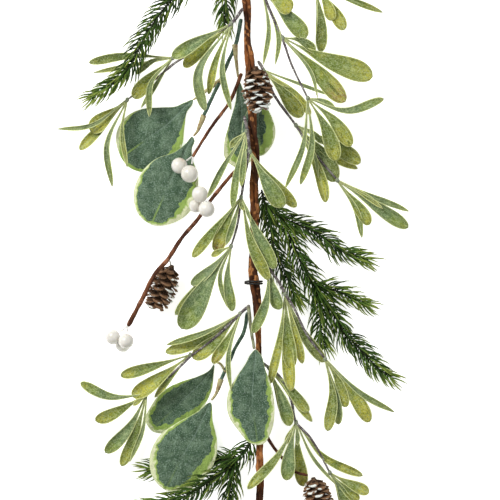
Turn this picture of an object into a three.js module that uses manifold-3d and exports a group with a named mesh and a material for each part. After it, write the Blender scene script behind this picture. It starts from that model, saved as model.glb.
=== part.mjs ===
// A mixed garland lying on a table: a bundle of twisted twigs with leaf sprays, variegated
// eucalyptus leaves, pine, berries and cones.  Millimetres, +Z up, the stem runs along Y.
// Every list below is laid out by hand, looking down on the garland: [x, y, z] in millimetres.
import * as THREE from "three";
import { mergeVertices } from "three/addons/utils/BufferGeometryUtils.js";
import Module from "manifold-3d";

const wasm = await Module();
wasm.setup();

// ---------------------------------------------------------------- driving dimensions
const GAP = 0.3; // clearance between pieces that touch
const STEM_HEIGHT = 26; // height of the twig bundle's axis above the table
const TWIST_PITCH = 110; // length along the stem of one full turn of the bundle
const TWIG_SIDES = 6;
const SPRAY_RADIUS = 1.15; // stems of the leaf sprays
const KNUCKLE_RADIUS = 2.1; // moulded swelling at each whorl
const LEAF_THICKNESS = 1.1;
const GUM_LEAF_THICKNESS = 1.0; // the large variegated leaves
const NEEDLE_LENGTH = 14;
const NEEDLE_WIDTH = 1.6;
const NEEDLE_SPACING = 12; // along each pine branch
const PINE_RADIUS = 1.2;
const BERRY_TWIG_RADIUS = 1.6;
const WIRE_RADIUS = 0.6;

// ---------------------------------------------------------------- materials
const finish = (color, roughness, metalness = 0) =>
  new THREE.MeshStandardMaterial({ color, roughness, metalness });

const MATERIALS = {
  twig: finish(0x6b3a22, 0.85),
  tie: finish(0x1c1a19, 0.5, 0.4),
  sage: finish(0x8fa383, 0.8),
  gum_leaf: finish(0x5f7d68, 0.75),
  gum_stem: finish(0x4f6d5c, 0.7),
  pine: finish(0x2d5124, 0.7),
  berry_twig: finish(0x6b3f2a, 0.75),
  berry: finish(0xe9e6dc, 0.35),
  cone: finish(0x6a4d33, 0.85),
};

// ---------------------------------------------------------------- solids
const point = ([x, y, z]) => new THREE.Vector3(x, y, z);
const smooth = (points) => new THREE.CatmullRomCurve3(points.map(point), false, "centripetal");

// A closed solid from a list of rings of the same number of points, capped at both ends.
function loft(rings) {
  const sides = rings[0].length;
  const positions = [];
  for (const ring of rings) for (const p of ring) positions.push(p.x, p.y, p.z);
  const faces = [];
  for (let i = 0; i + 1 < rings.length; i++)
    for (let j = 0; j < sides; j++) {
      const a = i * sides + j;
      const b = i * sides + ((j + 1) % sides);
      faces.push(a, b, b + sides, a, b + sides, a + sides);
    }
  const last = (rings.length - 1) * sides;
  for (let j = 1; j + 1 < sides; j++) {
    faces.push(0, j + 1, j);
    faces.push(last, last + j, last + j + 1);
  }
  const geometry = new THREE.BufferGeometry();
  geometry.setAttribute("position", new THREE.Float32BufferAttribute(positions, 3));
  geometry.setIndex(faces);
  return solid(geometry);
}

// A manifold-3d solid from a closed three.js geometry, whichever way its faces were wound.
function solid(geometry) {
  const bare = geometry.clone();
  bare.deleteAttribute("normal");
  bare.deleteAttribute("uv");
  const merged = mergeVertices(bare, 1e-4);
  const vertProperties = merged.attributes.position.array;
  const triVerts = new Uint32Array(merged.index.array);
  const made = new wasm.Manifold(new wasm.Mesh({ numProp: 3, vertProperties, triVerts }));
  if (made.volume() >= 0) return made;
  for (let i = 0; i < triVerts.length; i += 3)
    [triVerts[i + 1], triVerts[i + 2]] = [triVerts[i + 2], triVerts[i + 1]];
  return new wasm.Manifold(new wasm.Mesh({ numProp: 3, vertProperties, triVerts }));
}

const joined = (solids) => solids.reduce((whole, next) => whole.add(next));

function geometryOf(body) {
  const mesh = body.getMesh();
  const geometry = new THREE.BufferGeometry();
  geometry.setAttribute("position", new THREE.BufferAttribute(mesh.vertProperties, mesh.numProp));
  geometry.setIndex(new THREE.BufferAttribute(mesh.triVerts, 1));
  geometry.computeVertexNormals();
  return geometry;
}

// A round bar along a smooth path; radiusAt(u) gives its radius from u = 0 to u = 1.
function bar(points, radiusAt, sides = 5, steps = Math.round(1.3 * points.length)) {
  const path = smooth(points);
  const frames = path.computeFrenetFrames(steps, false);
  const rings = [];
  for (let i = 0; i <= steps; i++) {
    const centre = path.getPointAt(i / steps);
    const radius = radiusAt(i / steps);
    rings.push(circle(centre, frames.normals[i], frames.binormals[i], radius, sides));
  }
  return loft(rings);
}

function circle(centre, across, up, radius, sides) {
  return Array.from({ length: sides }, (_, j) => {
    const angle = (2 * Math.PI * j) / sides;
    return centre
      .clone()
      .addScaledVector(across, radius * Math.cos(angle))
      .addScaledVector(up, radius * Math.sin(angle));
  });
}

// ---------------------------------------------------------------- main stem
// [x, y, width of the bundle]
const STEM_LINE = [
  [-3, 250, 8], [-3, 225, 8], [-2.5, 200, 8], [-2, 172, 6], [-0.5, 150, 9], [0.5, 125, 8],
  [2, 100, 8], [4, 80, 7.5], [4, 60, 8], [3, 40, 8], [4, 20, 8], [2.5, -5, 8], [4, -30, 9],
  [6, -50, 7], [6.5, -70, 5.5], [7.5, -105, 6], [7.5, -135, 6], [8, -165, 6.5], [8, -200, 7],
  [8, -232, 7],
];
const TWIGS = 3;
const STEM_STEPS = 34;

// Each twig winds round the bundle's line, one third of a turn from the next.
function mainTwig(number) {
  const line = smooth(STEM_LINE.map(([x, y]) => [x, y, STEM_HEIGHT]));
  const widths = smooth(STEM_LINE.map(([, y, width]) => [width, y, 0]));
  const rings = [];
  for (let i = 0; i <= STEM_STEPS; i++) {
    const centre = line.getPoint(i / STEM_STEPS);
    const radius = (widths.getPoint(i / STEM_STEPS).x / 2 - GAP) / 2.3;
    const offset = 1.22 * radius + GAP / 2;
    const turn = (2 * Math.PI * centre.y) / TWIST_PITCH + (2 * Math.PI * number) / TWIGS;
    centre.x += offset * Math.cos(turn);
    centre.z += offset * Math.sin(turn);
    const across = new THREE.Vector3(1, 0, 0);
    const up = new THREE.Vector3(0, 0, 1);
    rings.push(circle(centre, across, up, radius, TWIG_SIDES));
  }
  return loft(rings);
}

// A wire band round the bundle with its twisted knot on the left.
function stemTie() {
  const centre = [3.6, -26, STEM_HEIGHT];
  const inner = 5.6;
  const outer = 6.8;
  const half = 1.1;
  const profile = [[inner, -half], [outer, -half], [outer, half], [inner, half], [inner, -half]];
  const band = new THREE.LatheGeometry(profile.map(([r, h]) => new THREE.Vector2(r, h)), 18);
  band.translate(...centre);
  const knot = new THREE.BoxGeometry(3.4, 2.6, 2.2);
  knot.translate(centre[0] - outer - 1, centre[1], centre[2] + 1);
  return joined([solid(band), solid(knot)]);
}

// ---------------------------------------------------------------- leaf sprays
// Half width of a spoon-shaped leaf at stations along it, as a share of its widest half width.
const SPOON = [[0, 0.18], [0.5, 0.52], [0.82, 1], [1, 0.3]];

// A leaf from its base through its middle to its tip: flat below, with a ridge along its face.
function spoonLeaf([base, middle, tip, width]) {
  const path = smooth([base, middle, tip]);
  const rings = SPOON.map(([u, share]) => {
    const centre = path.getPoint(u);
    const along = path.getTangent(u);
    const across = new THREE.Vector3(along.y, -along.x, 0).normalize();
    const up = new THREE.Vector3().crossVectors(across, along);
    const half = (width / 2) * share;
    const thick = LEAF_THICKNESS * (0.6 + 0.4 * share);
    return [
      centre.clone().addScaledVector(across, half),
      centre.clone().addScaledVector(up, thick),
      centre.clone().addScaledVector(across, -half),
    ];
  });
  return loft(rings);
}

// A whorl: leaves [mid x, mid y, tip x, tip y, width, rise of the tip, arch of the middle].
// Each leaf starts just inside the knuckle, on the side that it leaves from.
function whorlLeaves({ hub, leaves }) {
  const z = hub[2];
  return leaves.map(([midX, midY, tipX, tipY, width, rise, arch = 0]) => {
    const middle = [midX, midY, z + rise / 2 + arch];
    const outwards = point(middle).sub(point(hub)).setLength(0.6 * KNUCKLE_RADIUS);
    const base = point(hub).add(outwards).toArray();
    return spoonLeaf([base, middle, [tipX, tipY, z + rise], width]);
  });
}

function knuckle([x, y, z]) {
  const ball = new THREE.IcosahedronGeometry(KNUCKLE_RADIUS, 0);
  ball.translate(x, y, z);
  return solid(ball);
}

function spray({ stem, whorls }) {
  const taper = (u) => SPRAY_RADIUS * (1.1 - 0.35 * u);
  const pieces = [bar(stem, taper)];
  for (const whorl of whorls) pieces.push(knuckle(whorl.hub), ...whorlLeaves(whorl));
  return joined(pieces);
}

// Each spray: its stem from the main stem outwards, and its whorls.
const SPRAYS = {
  spray_top_left: {
    stem: [
      [-7.5, 190, 32], [-15, 180, 33], [-30, 171, 30], [-45, 159, 26], [-60, 150, 22],
      [-75, 138, 19], [-99, 121, 15],
    ],
    whorls: [
      { hub: [-15, 180, 33], leaves: [
        [-45, 163, -62, 153, 10, 2, 5], [-35, 163, -53, 146, 10, -6, 0],
        [-41, 138, -36, 111, 8, -4, 6], [-28, 148, -33, 124, 6, -4, 2],
        [-22, 143, -15, 111, 5, 1, 5],
      ] },
      { hub: [-62, 154, 22], leaves: [
        [-77, 152, -92, 141, 5, -3], [-80, 138, -94, 122, 11, -4], [-79, 134, -81, 107, 5, -4, 4],
        [-76, 132, -88, 114, 4, -6], [-98, 156, -130, 151, 7, -8], [-98, 148, -127, 143, 4, -10],
      ] },
      { hub: [-99, 121, 15], leaves: [
        [-115, 108, -129, 96, 13, -2], [-128, 100, -156, 97.5, 4, -2, 4],
        [-118, 101, -138, 81, 8, -7, -1], [-115, 84, -111, 50.5, 5, -2, 4],
        [-103, 98, -99, 66, 4, -2, 2],
      ] },
    ],
  },
  spray_top_right_rear: {
    stem: [[3.5, 240, 24], [16, 232, 23], [34, 222, 22], [52, 212, 21]],
    whorls: [
      { hub: [52, 212, 21], leaves: [
        [57, 185, 57, 159, 9, -3, 2], [55, 188, 54, 169, 4, -6], [67, 192, 76, 177, 10, -4],
        [62, 196, 66, 184, 9, -1, 2], [80, 201, 107, 191, 5, -4], [72, 216, 92, 214, 9, -6],
        [62, 228, 80, 238, 10, -8], [50, 230, 56, 248, 9, -8],
      ] },
    ],
  },
  spray_top_right: {
    stem: [
      [4, 236, 32], [8, 212, 34], [16, 190, 34], [25, 170, 33], [33, 148, 32], [46, 121, 31],
    ],
    whorls: [
      { hub: [10, 206, 34], leaves: [
        [15, 174, 10.5, 147, 4, 0], [23, 165, 20, 147, 4, -1], [27, 189, 45, 169, 13, -4],
        [22, 198, 33, 190, 13, 0, 2],
      ] },
      { hub: [26, 169, 33], leaves: [
        [40, 167, 52, 158, 8, -3], [60, 152, 98, 138, 17, -5], [50, 146, 76, 118, 14, -4],
        [50, 138, 54, 120, 3, 0],
      ] },
      { hub: [46, 121, 31], leaves: [
        [77, 111, 107, 121, 7, -5, 2], [58, 119, 68, 114, 4, -2], [42, 82, 28, 49, 5, 0, 3],
        [49, 82, 40, 52, 6, -2, 1], [60, 98, 69, 71, 12, -3], [66, 104, 81, 83, 11, -5],
      ] },
    ],
  },
  spray_right_rear: {
    stem: [[8, 149, 22], [11, 144, 22], [18, 127, 21], [36, 101, 21], [52, 78, 20], [70, 56, 20]],
    whorls: [
      { hub: [11, 144, 22], leaves: [
        [38, 134, 67, 123.5, 3, -6], [33, 128, 49, 109, 7, -5, -1], [27, 126, 42, 107, 12, -6],
        [14, 141, 32, 130, 3, -1],
      ] },
      { hub: [37, 100, 21], leaves: [
        [52, 71, 61, 38, 9, -3], [52, 75, 55, 57, 3, 0], [56, 79, 69, 55, 14, -5],
        [50, 94, 59, 85, 5, -1], [66, 84, 89, 70, 12, -5], [64, 76, 87, 65.5, 6, -8],
      ] },
      { hub: [70, 56, 20], leaves: [
        [86, 30, 90, 9.5, 5, -1], [84, 38, 96, 20, 10, -2], [97, 38, 127.5, 18, 14, -5],
        [92, 44, 107, 33, 4, -1], [98, 43, 128, 31, 5, -2],
      ] },
    ],
  },
  spray_centre: {
    stem: [
      [-4, 104, 30], [-2, 94, 35], [-1, 78, 36], [-4, 60, 37], [-7, 42, 36], [-10, 20, 34],
      [-15, 3, 32],
    ],
    whorls: [
      { hub: [-3, 94, 35], leaves: [
        [-21, 66, -34, 41, 5, 5, 3], [-10, 88, -16, 81, 5, 2], [-4, 85, -5, 77, 4, 3],
        [-10, 64, -14, 33, 6, 6, 2], [-5, 70, -7, 50, 5, 6, 1],
      ] },
      { hub: [0, 78, 36], leaves: [[11, 58, 26.5, 34, 13, -1, 3], [14, 60, 37, 34, 9, -5]] },
      { hub: [-7, 42, 36], leaves: [
        [-25, 20, -46, -6, 8, -6, 1], [-19, 22, -28, -1, 11, -7], [-13, 22, -19, 4, 5, -1],
        [1, 6, 15, -24, 9, -3, 1], [4, 17, 20, -15, 10, -4], [-7, 36, -5, 31, 4, 2],
        [-3, 33, 1, 22, 3, 3],
      ] },
      { hub: [-15, 3, 32], leaves: [
        [-28, -12, -47, -28, 8, -2, 2], [-36, -24, -60, -52, 8, -8], [-34, -27, -55, -63, 18, -6, 2],
        [-24, -1, -31, -5, 5, -3], [-24, -22, -18, -46, 4, -3], [-18, -23, -14, -49, 8, -5],
      ] },
    ],
  },
  spray_lower_left: {
    stem: [
      [-2.5, -46, 27], [-8, -51, 27], [-27, -69, 25], [-46, -84, 22], [-60, -97, 20],
      [-83, -116, 18],
    ],
    whorls: [
      { hub: [-8, -51, 27], leaves: [
        [-34, -65, -67, -76, 5, -1, 3], [-40, -73, -68, -82, 9, -5, -1], [-28, -73, -46, -87, 12, -6],
        [-18, -72, -30, -91, 8, -3], [-17, -84, -15, -112, 4, 10, 3],
      ] },
      { hub: [-48, -84, 22], leaves: [
        [-77, -93, -104, -101, 9, -2, 3], [-73, -103, -95, -118, 12, -6], [-65, -104, -77, -119, 5, -7],
      ] },
      { hub: [-83, -116, 18], leaves: [
        [-112, -118, -137, -107, 9, -6], [-109, -131, -125, -138, 10, -8], [-89, -121, -94, -125, 4, 1],
        [-98, -144, -117, -164, 10, -8], [-92, -147, -104, -175, 9, -10], [-86, -144, -97, -171, 4, -4, 3],
      ] },
    ],
  },
  spray_lower_right: {
    stem: [
      [11.2, -2, 26], [15, -14, 27.5], [22, -24, 29], [28, -35, 30], [35, -46, 30], [45, -67, 29],
      [60, -87, 28],
    ],
    whorls: [
      { hub: [15, -14, 27.5], leaves: [
        [19, -32, 24, -47.5, 10, 3, 1], [13, -40, 2, -66, 8, 12, 3],
      ] },
      { hub: [28, -35, 30], leaves: [
        [24, -70, 16, -107, 7, -3, 1], [30, -66, 33, -95, 11, -4], [30, -76, 33, -113, 10, -5, -1],
        [36, -66, 42, -91, 7, -5], [42, -66, 60, -90, 9, -9],
      ] },
      { hub: [60, -87, 28], leaves: [
        [66, -117, 62, -145, 9, -3, 1], [68, -116, 71, -140, 8, -6], [71, -106, 77, -126, 9, -4],
        [80, -112, 96, -138, 14, -6], [88, -114, 116, -130, 5, -4, 1],
      ] },
    ],
  },
  spray_bottom_right: {
    stem: [
      [12.2, -92, 24], [25, -103, 23], [33, -120, 22], [37, -138, 21], [48, -150, 20],
      [57, -165, 18], [64, -179, 17],
    ],
    whorls: [
      { hub: [15, -94.5, 24], leaves: [
        [26, -120, 32, -141, 10, -1, 2], [23, -118, 27, -135, 5, -5], [39, -124, 50, -138, 6, -5],
        [37, -117, 47, -130, 9, -2],
      ] },
      { hub: [37, -138, 21], leaves: [
        [22, -165, -2, -190, 8, 15, -3], [31, -149, 28, -157, 4, 0], [32, -160, 29, -184.5, 11, 3, 1],
        [39, -166, 43, -191, 10, -11, 0], [38, -149, 38, -157, 4, 1], [50, -166, 70, -190, 3, -5],
        [59, -166, 91, -182, 7, -7],
      ] },
      { hub: [64, -179, 17], leaves: [
        [72, -191, 78, -205, 8, -7], [74, -190, 88, -202, 8, -6, -1], [76, -186, 96, -196, 9, -5],
        [73, -194, 84, -213, 12, -10, -1],
      ] },
    ],
  },
};

// ---------------------------------------------------------------- variegated eucalyptus leaves
// A flat leaf: outline points go round from the neck, and the leaf's own plane rises from
// `neckZ` at the neck to `tipZ` at the last named tip.
const GUM_LEAVES = {
  gum_leaf_upper_left: {
    outline: [
      [-47, 121], [-56, 121], [-70, 117.5], [-88, 114.5], [-101, 108], [-108.5, 95], [-107, 80],
      [-98, 67], [-84, 63], [-68, 69], [-56, 84], [-52, 104],
    ],
    tip: [-106, 75], neckZ: 3.5, tipZ: 0.1,
  },
  gum_leaf_left: {
    outline: [
      [-46.5, 91], [-60, 81.5], [-77, 74], [-90, 62], [-94.5, 45], [-90, 28], [-78, 20],
      [-62, 22], [-49, 31], [-42.5, 48], [-42.5, 64], [-44.5, 80],
    ],
    tip: [-80, 20], neckZ: 6, tipZ: 3.5,
  },
  gum_leaf_rear_left: {
    outline: [
      [-9, 137], [-12, 119], [-17, 102], [-21, 86], [-20, 74], [-12, 67.5], [-2, 70], [6, 80],
      [7.5, 95], [3, 112], [-4, 126],
    ],
    tip: [-12, 67.5], neckZ: 13, tipZ: 1,
  },
  gum_leaf_rear_right: {
    outline: [
      [7, 127], [13, 116], [18, 106], [20.5, 95], [17.5, 84], [9, 76], [-1, 80], [-6, 90],
      [-6, 102], [0, 116],
    ],
    tip: [9, 76], neckZ: 17, tipZ: 11,
  },
  gum_leaf_lower_left: {
    outline: [
      [-29, -92], [-40, -99], [-56, -106.5], [-70, -114], [-80, -126], [-85, -139], [-80, -147],
      [-66, -149], [-50, -142], [-38, -128], [-32, -112],
    ],
    tip: [-80, -147], neckZ: 0, tipZ: 0,
  },
  gum_leaf_bottom_left: {
    outline: [
      [-32, -123], [-44, -129], [-58, -139], [-74, -151], [-81, -168], [-78, -184], [-68, -193.5],
      [-54, -194.5], [-39, -186], [-28.5, -171], [-26.5, -154], [-30, -138],
    ],
    tip: [-68, -193.5], neckZ: 10, tipZ: 13.5,
  },
  gum_leaf_front: {
    outline: [
      [4, -80], [-3, -90], [-11, -101], [-17.5, -114], [-17.5, -130], [-9, -144], [1, -154],
      [10, -154.5], [17, -144], [19.5, -128], [17, -108], [11, -94],
    ],
    tip: [6, -155], neckZ: 36, tipZ: 34,
  },
};
const OUTLINE_STEPS = 26;

function gumLeaf({ outline, tip, neckZ, tipZ }) {
  const [neckX, neckY] = outline[0];
  const rim = smooth(outline.map(([x, y]) => [x, y, 0]));
  rim.closed = true;
  const shape = new THREE.Shape(
    rim.getPoints(OUTLINE_STEPS).slice(0, -1).map((p) => new THREE.Vector2(p.x, p.y)),
  );
  const plate = new THREE.ExtrudeGeometry(shape, { depth: GUM_LEAF_THICKNESS, bevelEnabled: false });
  const run = new THREE.Vector2(tip[0] - neckX, tip[1] - neckY);
  const slope = (tipZ - neckZ) / run.lengthSq();
  const positions = plate.attributes.position;
  for (let i = 0; i < positions.count; i++) {
    const dx = positions.getX(i) - neckX;
    const dy = positions.getY(i) - neckY;
    const rise = neckZ + slope * (dx * run.x + dy * run.y);
    positions.setZ(i, positions.getZ(i) + rise);
  }
  return solid(plate);
}

// The stems that carry those leaves.  Each branch is [points, radius at its start, at its end],
// and a socket is a short stout branch that tapers to the leaf's neck.
const GUM_STEMS = {
  gum_stem_upper: [
    [[[-7.5, 183, 25], [-12, 163, 22], [-18, 150, 20], [-24, 136, 18], [-30, 124, 15],
      [-38, 107, 12.5]], 1.6, 1.5],
    [[[-12, 163, 22], [-11.5, 156, 21.5], [-9.5, 139, 15.6]], 2.3, 0.8],
    [[[-24, 136, 18], [-32, 131, 13], [-42, 124, 7.2], [-46, 121.8, 5.8]], 2.2, 0.8],
    [[[-38, 107, 12.5], [-44, 94, 9.4], [-45.6, 92.3, 8.6]], 2.4, 0.9],
  ],
  gum_stem_lower: [
    [[[-2.5, -52, 21], [-5, -66, 19], [-12, -79, 16], [-18, -93, 14], [-24, -106, 12]], 1.5, 1.4],
    [[[-24, -106, 12], [-28, -117, 11.5], [-31.2, -121.4, 11.8]], 2.3, 0.9],
    [[[-20.5, -97, 13.2], [-24, -92, 9], [-27.6, -91, 2.6]], 1.2, 0.8],
  ],
  gum_stem_front: [
    [[[-1, -47, 32.5], [0, -56, 34.5], [1.6, -68, 36], [3.4, -78.6, 36.6]], 1.3, 0.9],
  ],
};

function gumStem(branches) {
  const taper = (start, end) => (u) => start + (end - start) * u;
  return joined(branches.map(([points, start, end]) => bar(points, taper(start, end))));
}

// ---------------------------------------------------------------- pine
// Each branch is [points, lowest and highest place of its needle tips]; the first is the trunk.
const PINES = {
  pine_top_left: [
    [[[-8, 243, 27], [-28, 228, 31], [-55, 206, 33], [-66, 195, 33], [-73, 186, 33],
      [-86, 165, 32], [-96, 146, 31], [-115, 129, 29], [-126, 122, 29]], 22, 44],
  ],
  pine_top: [
    [[[-8.2, 236, 24], [-16, 220, 22], [-19, 205, 20], [-20, 190, 19], [-20, 180, 18]], 10, 28],
  ],
  pine_right: [
    [[[9.6, 47, 20], [12, 38, 17], [22, 28, 14], [40, 20, 11], [57, 12, 9.5], [72, 0, 9],
      [88, -5, 9], [95, -8, 9]], 0.3, 18],
    [[[12, 38, 17], [15, 28, 15], [17, 15, 13], [20, 0, 12], [27, -15, 11], [33, -30, 10],
      [39, -40, 9]], 0.3, 19],
    [[[26, 26, 13], [35, 5, 11], [40, -8, 11], [46, -18, 10], [52, -28, 10], [60, -30, 9.5],
      [70, -33, 9], [85, -40, 9], [94, -44, 9]], 0.3, 18],
    [[[51, -27, 10], [57, -35, 10], [63, -45, 9.5], [70, -55, 9], [75, -66, 9], [85, -76, 9],
      [95, -87, 9], [105, -97, 9], [114, -103, 9]], 0.3, 18],
    [[[53, -29, 10], [56, -38, 10], [57, -55, 9.5], [58, -70, 9], [60, -78, 9]], 0.3, 18],
  ],
  pine_bottom: [
    [[[2, -152, 22], [-5, -163, 19], [-12, -169, 15], [-15, -185, 14], [-17, -205, 12]], 3, 22],
    [[[-11, -168, 15.5], [-25, -171, 6.5], [-40, -172, 5], [-62, -175, 5], [-83, -178, 5]], 0.3, 8],
    [[[-11, -168, 15.5], [-17, -175, 21], [-28, -182, 24.5], [-40, -190, 25], [-55, -199, 23],
      [-80, -206, 20], [-106, -209, 18]], 16, 32],
  ],
};
const NEEDLE_SWEEP = 0.72; // radians between a needle and its branch
const GOLDEN_ANGLE = Math.PI * (3 - Math.sqrt(5));

function needle(root, tip) {
  const along = tip.clone().sub(root).normalize();
  const across = new THREE.Vector3(-along.y, along.x, 0).normalize();
  const up = new THREE.Vector3().crossVectors(along, across);
  const wide = circle(root, across, up, NEEDLE_WIDTH / 2, 3);
  const narrow = circle(tip, across, up, NEEDLE_WIDTH / 8, 3);
  return loft([wide, narrow]);
}

function pineBranch([points, lowest, highest]) {
  const path = smooth(points);
  const count = Math.round(path.getLength() / NEEDLE_SPACING);
  const frames = path.computeFrenetFrames(count, false);
  const pieces = [bar(points, (u) => PINE_RADIUS * (1 - 0.4 * u), 4)];
  for (let i = Math.round(0.12 * count); i < count; i++) {
    const root = path.getPointAt(i / count);
    const turn = i * GOLDEN_ANGLE;
    const side = frames.normals[i].clone().multiplyScalar(Math.cos(turn));
    side.addScaledVector(frames.binormals[i], Math.sin(turn));
    const tip = root.clone();
    tip.addScaledVector(frames.tangents[i], NEEDLE_LENGTH * Math.cos(NEEDLE_SWEEP));
    tip.addScaledVector(side, NEEDLE_LENGTH * Math.sin(NEEDLE_SWEEP));
    tip.z = THREE.MathUtils.clamp(tip.z, lowest, highest);
    pieces.push(needle(root, tip));
  }
  return joined(pieces);
}

// ---------------------------------------------------------------- berries
// Brown twigs with the thin wires that their berries sit on: [points, radius at start, at end].
const BERRY_TWIGS = {
  berry_twig_upper: [
    [[[-7.6, 139, 28], [-16, 119, 25], [-30, 100, 22], [-46, 75, 19]], BERRY_TWIG_RADIUS, 1.2],
    [[[-45.5, 75.6, 19], [-49, 73.5, 16], [-51.2, 71.9, 14.5]], WIRE_RADIUS, WIRE_RADIUS],
    [[[-45.8, 75.2, 19], [-46.4, 71, 20.5], [-46.7, 68.9, 21.2]], WIRE_RADIUS, WIRE_RADIUS],
  ],
  berry_twig_lower: [
    [[[-3.6, 72.5, 25], [-20, 54, 24], [-32, 39, 24], [-40, 27, 24], [-55, 9, 26],
      [-66, -8, 29], [-75, -18, 29.5], [-83, -33, 27], [-92, -50, 20], [-98, -61, 15.5]],
    BERRY_TWIG_RADIUS, 1.2],
    [[[-33.2, 37.5, 24], [-34.6, 38.8, 24.8], [-35.2, 39.3, 25.1]], WIRE_RADIUS, WIRE_RADIUS],
    [[[-97.6, -60.2, 15.6], [-101, -63.2, 15.4], [-104.7, -65.8, 15]], WIRE_RADIUS, WIRE_RADIUS],
    [[[-97.7, -60.4, 15.6], [-98.6, -64, 16.8], [-98.9, -66, 17.7]], WIRE_RADIUS, WIRE_RADIUS],
  ],
};
// [centre, radius]
const BERRIES = {
  berry_upper_left: [[-57, 68, 13.8], 6.5],
  berry_upper_right: [[-48.5, 61, 22.3], 7],
  berry_middle_top: [[-40, 44.5, 27], 6.5],
  berry_middle_front: [[-34.5, 32.5, 33], 6.5],
  berry_middle_rear: [[-43.5, 35.5, 18], 5.6],
  berry_end_left: [[-110.5, -70, 14.5], 6.1],
  berry_end_right: [[-99.5, -73, 20], 6.1],
  berry_end_rear: [[-103, -76.5, 7], 6.1],
};

// ---------------------------------------------------------------- cones
// Each cone hangs from `top` towards `tip`.
const CONES = {
  cone_stem: { top: [4.5, 145, 45.5], tip: [7, 111, 45.5], radius: 13.5 },
  cone_left: { top: [-62.5, -12, 14.2], tip: [-77, -46, 14.2], radius: 13.5 },
  cone_bottom: { top: [50.5, -182, 25], tip: [57, -213, 24], radius: 13.5 },
};
const CONE_SCALES = 18;

// Distance from the axis to the scale tips at a share h of the way from the top to the tip.
const coneOutline = (h) => Math.sin(Math.PI * (0.14 + 0.8 * h)) ** 0.7;

function cone({ top, tip, radius }) {
  const length = point(tip).distanceTo(point(top));
  const core = [[0, 0], [0.4, 0.05], [0.6, 0.3], [0.5, 0.65], [0.22, 0.92], [0, 0.97]];
  const profile = core.map(([r, h]) => new THREE.Vector2(r * radius, h * length));
  const lathe = new THREE.LatheGeometry(profile, 6);
  lathe.rotateX(Math.PI / 2); // the lathe's axis becomes +Z
  const pieces = [solid(lathe)];
  for (let i = 0; i < CONE_SCALES; i++) {
    const h = 0.08 + (0.78 * i) / (CONE_SCALES - 1);
    const turn = i * GOLDEN_ANGLE;
    const out = new THREE.Vector3(Math.cos(turn), Math.sin(turn), 0);
    const across = new THREE.Vector3(-out.y, out.x, 0);
    const axis = new THREE.Vector3(0, 0, 1);
    const reach = 0.97 * radius * coneOutline(h);
    const section = (distance, lift, width, thick) => {
      const centre = out.clone().multiplyScalar(distance);
      centre.z = h * length + lift;
      return [[1, 1], [-1, 1], [-1, -1], [1, -1]].map(([a, b]) =>
        centre.clone().addScaledVector(across, a * width).addScaledVector(axis, b * thick),
      );
    };
    const inner = section(0.15 * reach, 0, 0.12 * radius, 0.9);
    const outer = section(reach, 0.12 * length, 0.24 * radius, 0.9);
    pieces.push(loft([inner, outer]));
  }
  const whole = geometryOf(joined(pieces));
  const heading = point(tip).sub(point(top)).normalize();
  whole.applyQuaternion(
    new THREE.Quaternion().setFromUnitVectors(new THREE.Vector3(0, 0, 1), heading),
  );
  whole.translate(...top);
  return solid(whole);
}

const CONE_TWIG = [[12.8, -147, 23], [16, -154, 20], [25, -166, 16.5], [36, -178, 19], [46, -180.5, 24]];
const CONE_WIRE = [[-64, -15, 14.2], [-64, -9.5, 20], [-65.4, -8.4, 26]];

// ---------------------------------------------------------------- assembly
const garland = new THREE.Group();

function add(name, material, body) {
  const mesh = new THREE.Mesh(geometryOf(body), MATERIALS[material]);
  mesh.name = name;
  garland.add(mesh);
}

for (let i = 0; i < TWIGS; i++) add("main_twig_" + (i + 1), "twig", mainTwig(i));
add("stem_tie", "tie", stemTie());
for (const [name, plan] of Object.entries(SPRAYS)) add(name, "sage", spray(plan));
for (const [name, plan] of Object.entries(GUM_LEAVES)) add(name, "gum_leaf", gumLeaf(plan));
for (const [name, plan] of Object.entries(GUM_STEMS)) add(name, "gum_stem", gumStem(plan));
for (const [name, plan] of Object.entries(PINES)) add(name, "pine", joined(plan.map(pineBranch)));
for (const [name, plan] of Object.entries(BERRY_TWIGS)) add(name, "berry_twig", gumStem(plan));
for (const [name, [centre, radius]] of Object.entries(BERRIES)) {
  const ball = new THREE.SphereGeometry(radius, 10, 7);
  ball.rotateX(Math.PI / 2);
  ball.translate(...centre);
  add(name, "berry", solid(ball));
}
const coneWire = bar(CONE_WIRE, () => WIRE_RADIUS);
for (const [name, plan] of Object.entries(CONES)) {
  const body = cone(plan);
  add(name, "cone", name === "cone_left" ? body.add(coneWire) : body);
}
add("cone_twig", "berry_twig", bar(CONE_TWIG, (u) => 1.4 - 0.3 * u));

// The origin is under the middle of the garland, on the table.
const box = new THREE.Box3().setFromObject(garland, true);
const middle = box.getCenter(new THREE.Vector3());
garland.position.set(-middle.x, -middle.y, -box.min.z);

export default garland;
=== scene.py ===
# %% [markdown]
# # A mixed garland on a table
# The garland is a bundle of twisted twigs that carries leaf sprays, large variegated eucalyptus
# leaves, pine, white berries and cones.  The packed solids give every piece its place and size.
# This lesson rebuilds each of them as a fine surface, worked out with numpy, in the same frame.

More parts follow.
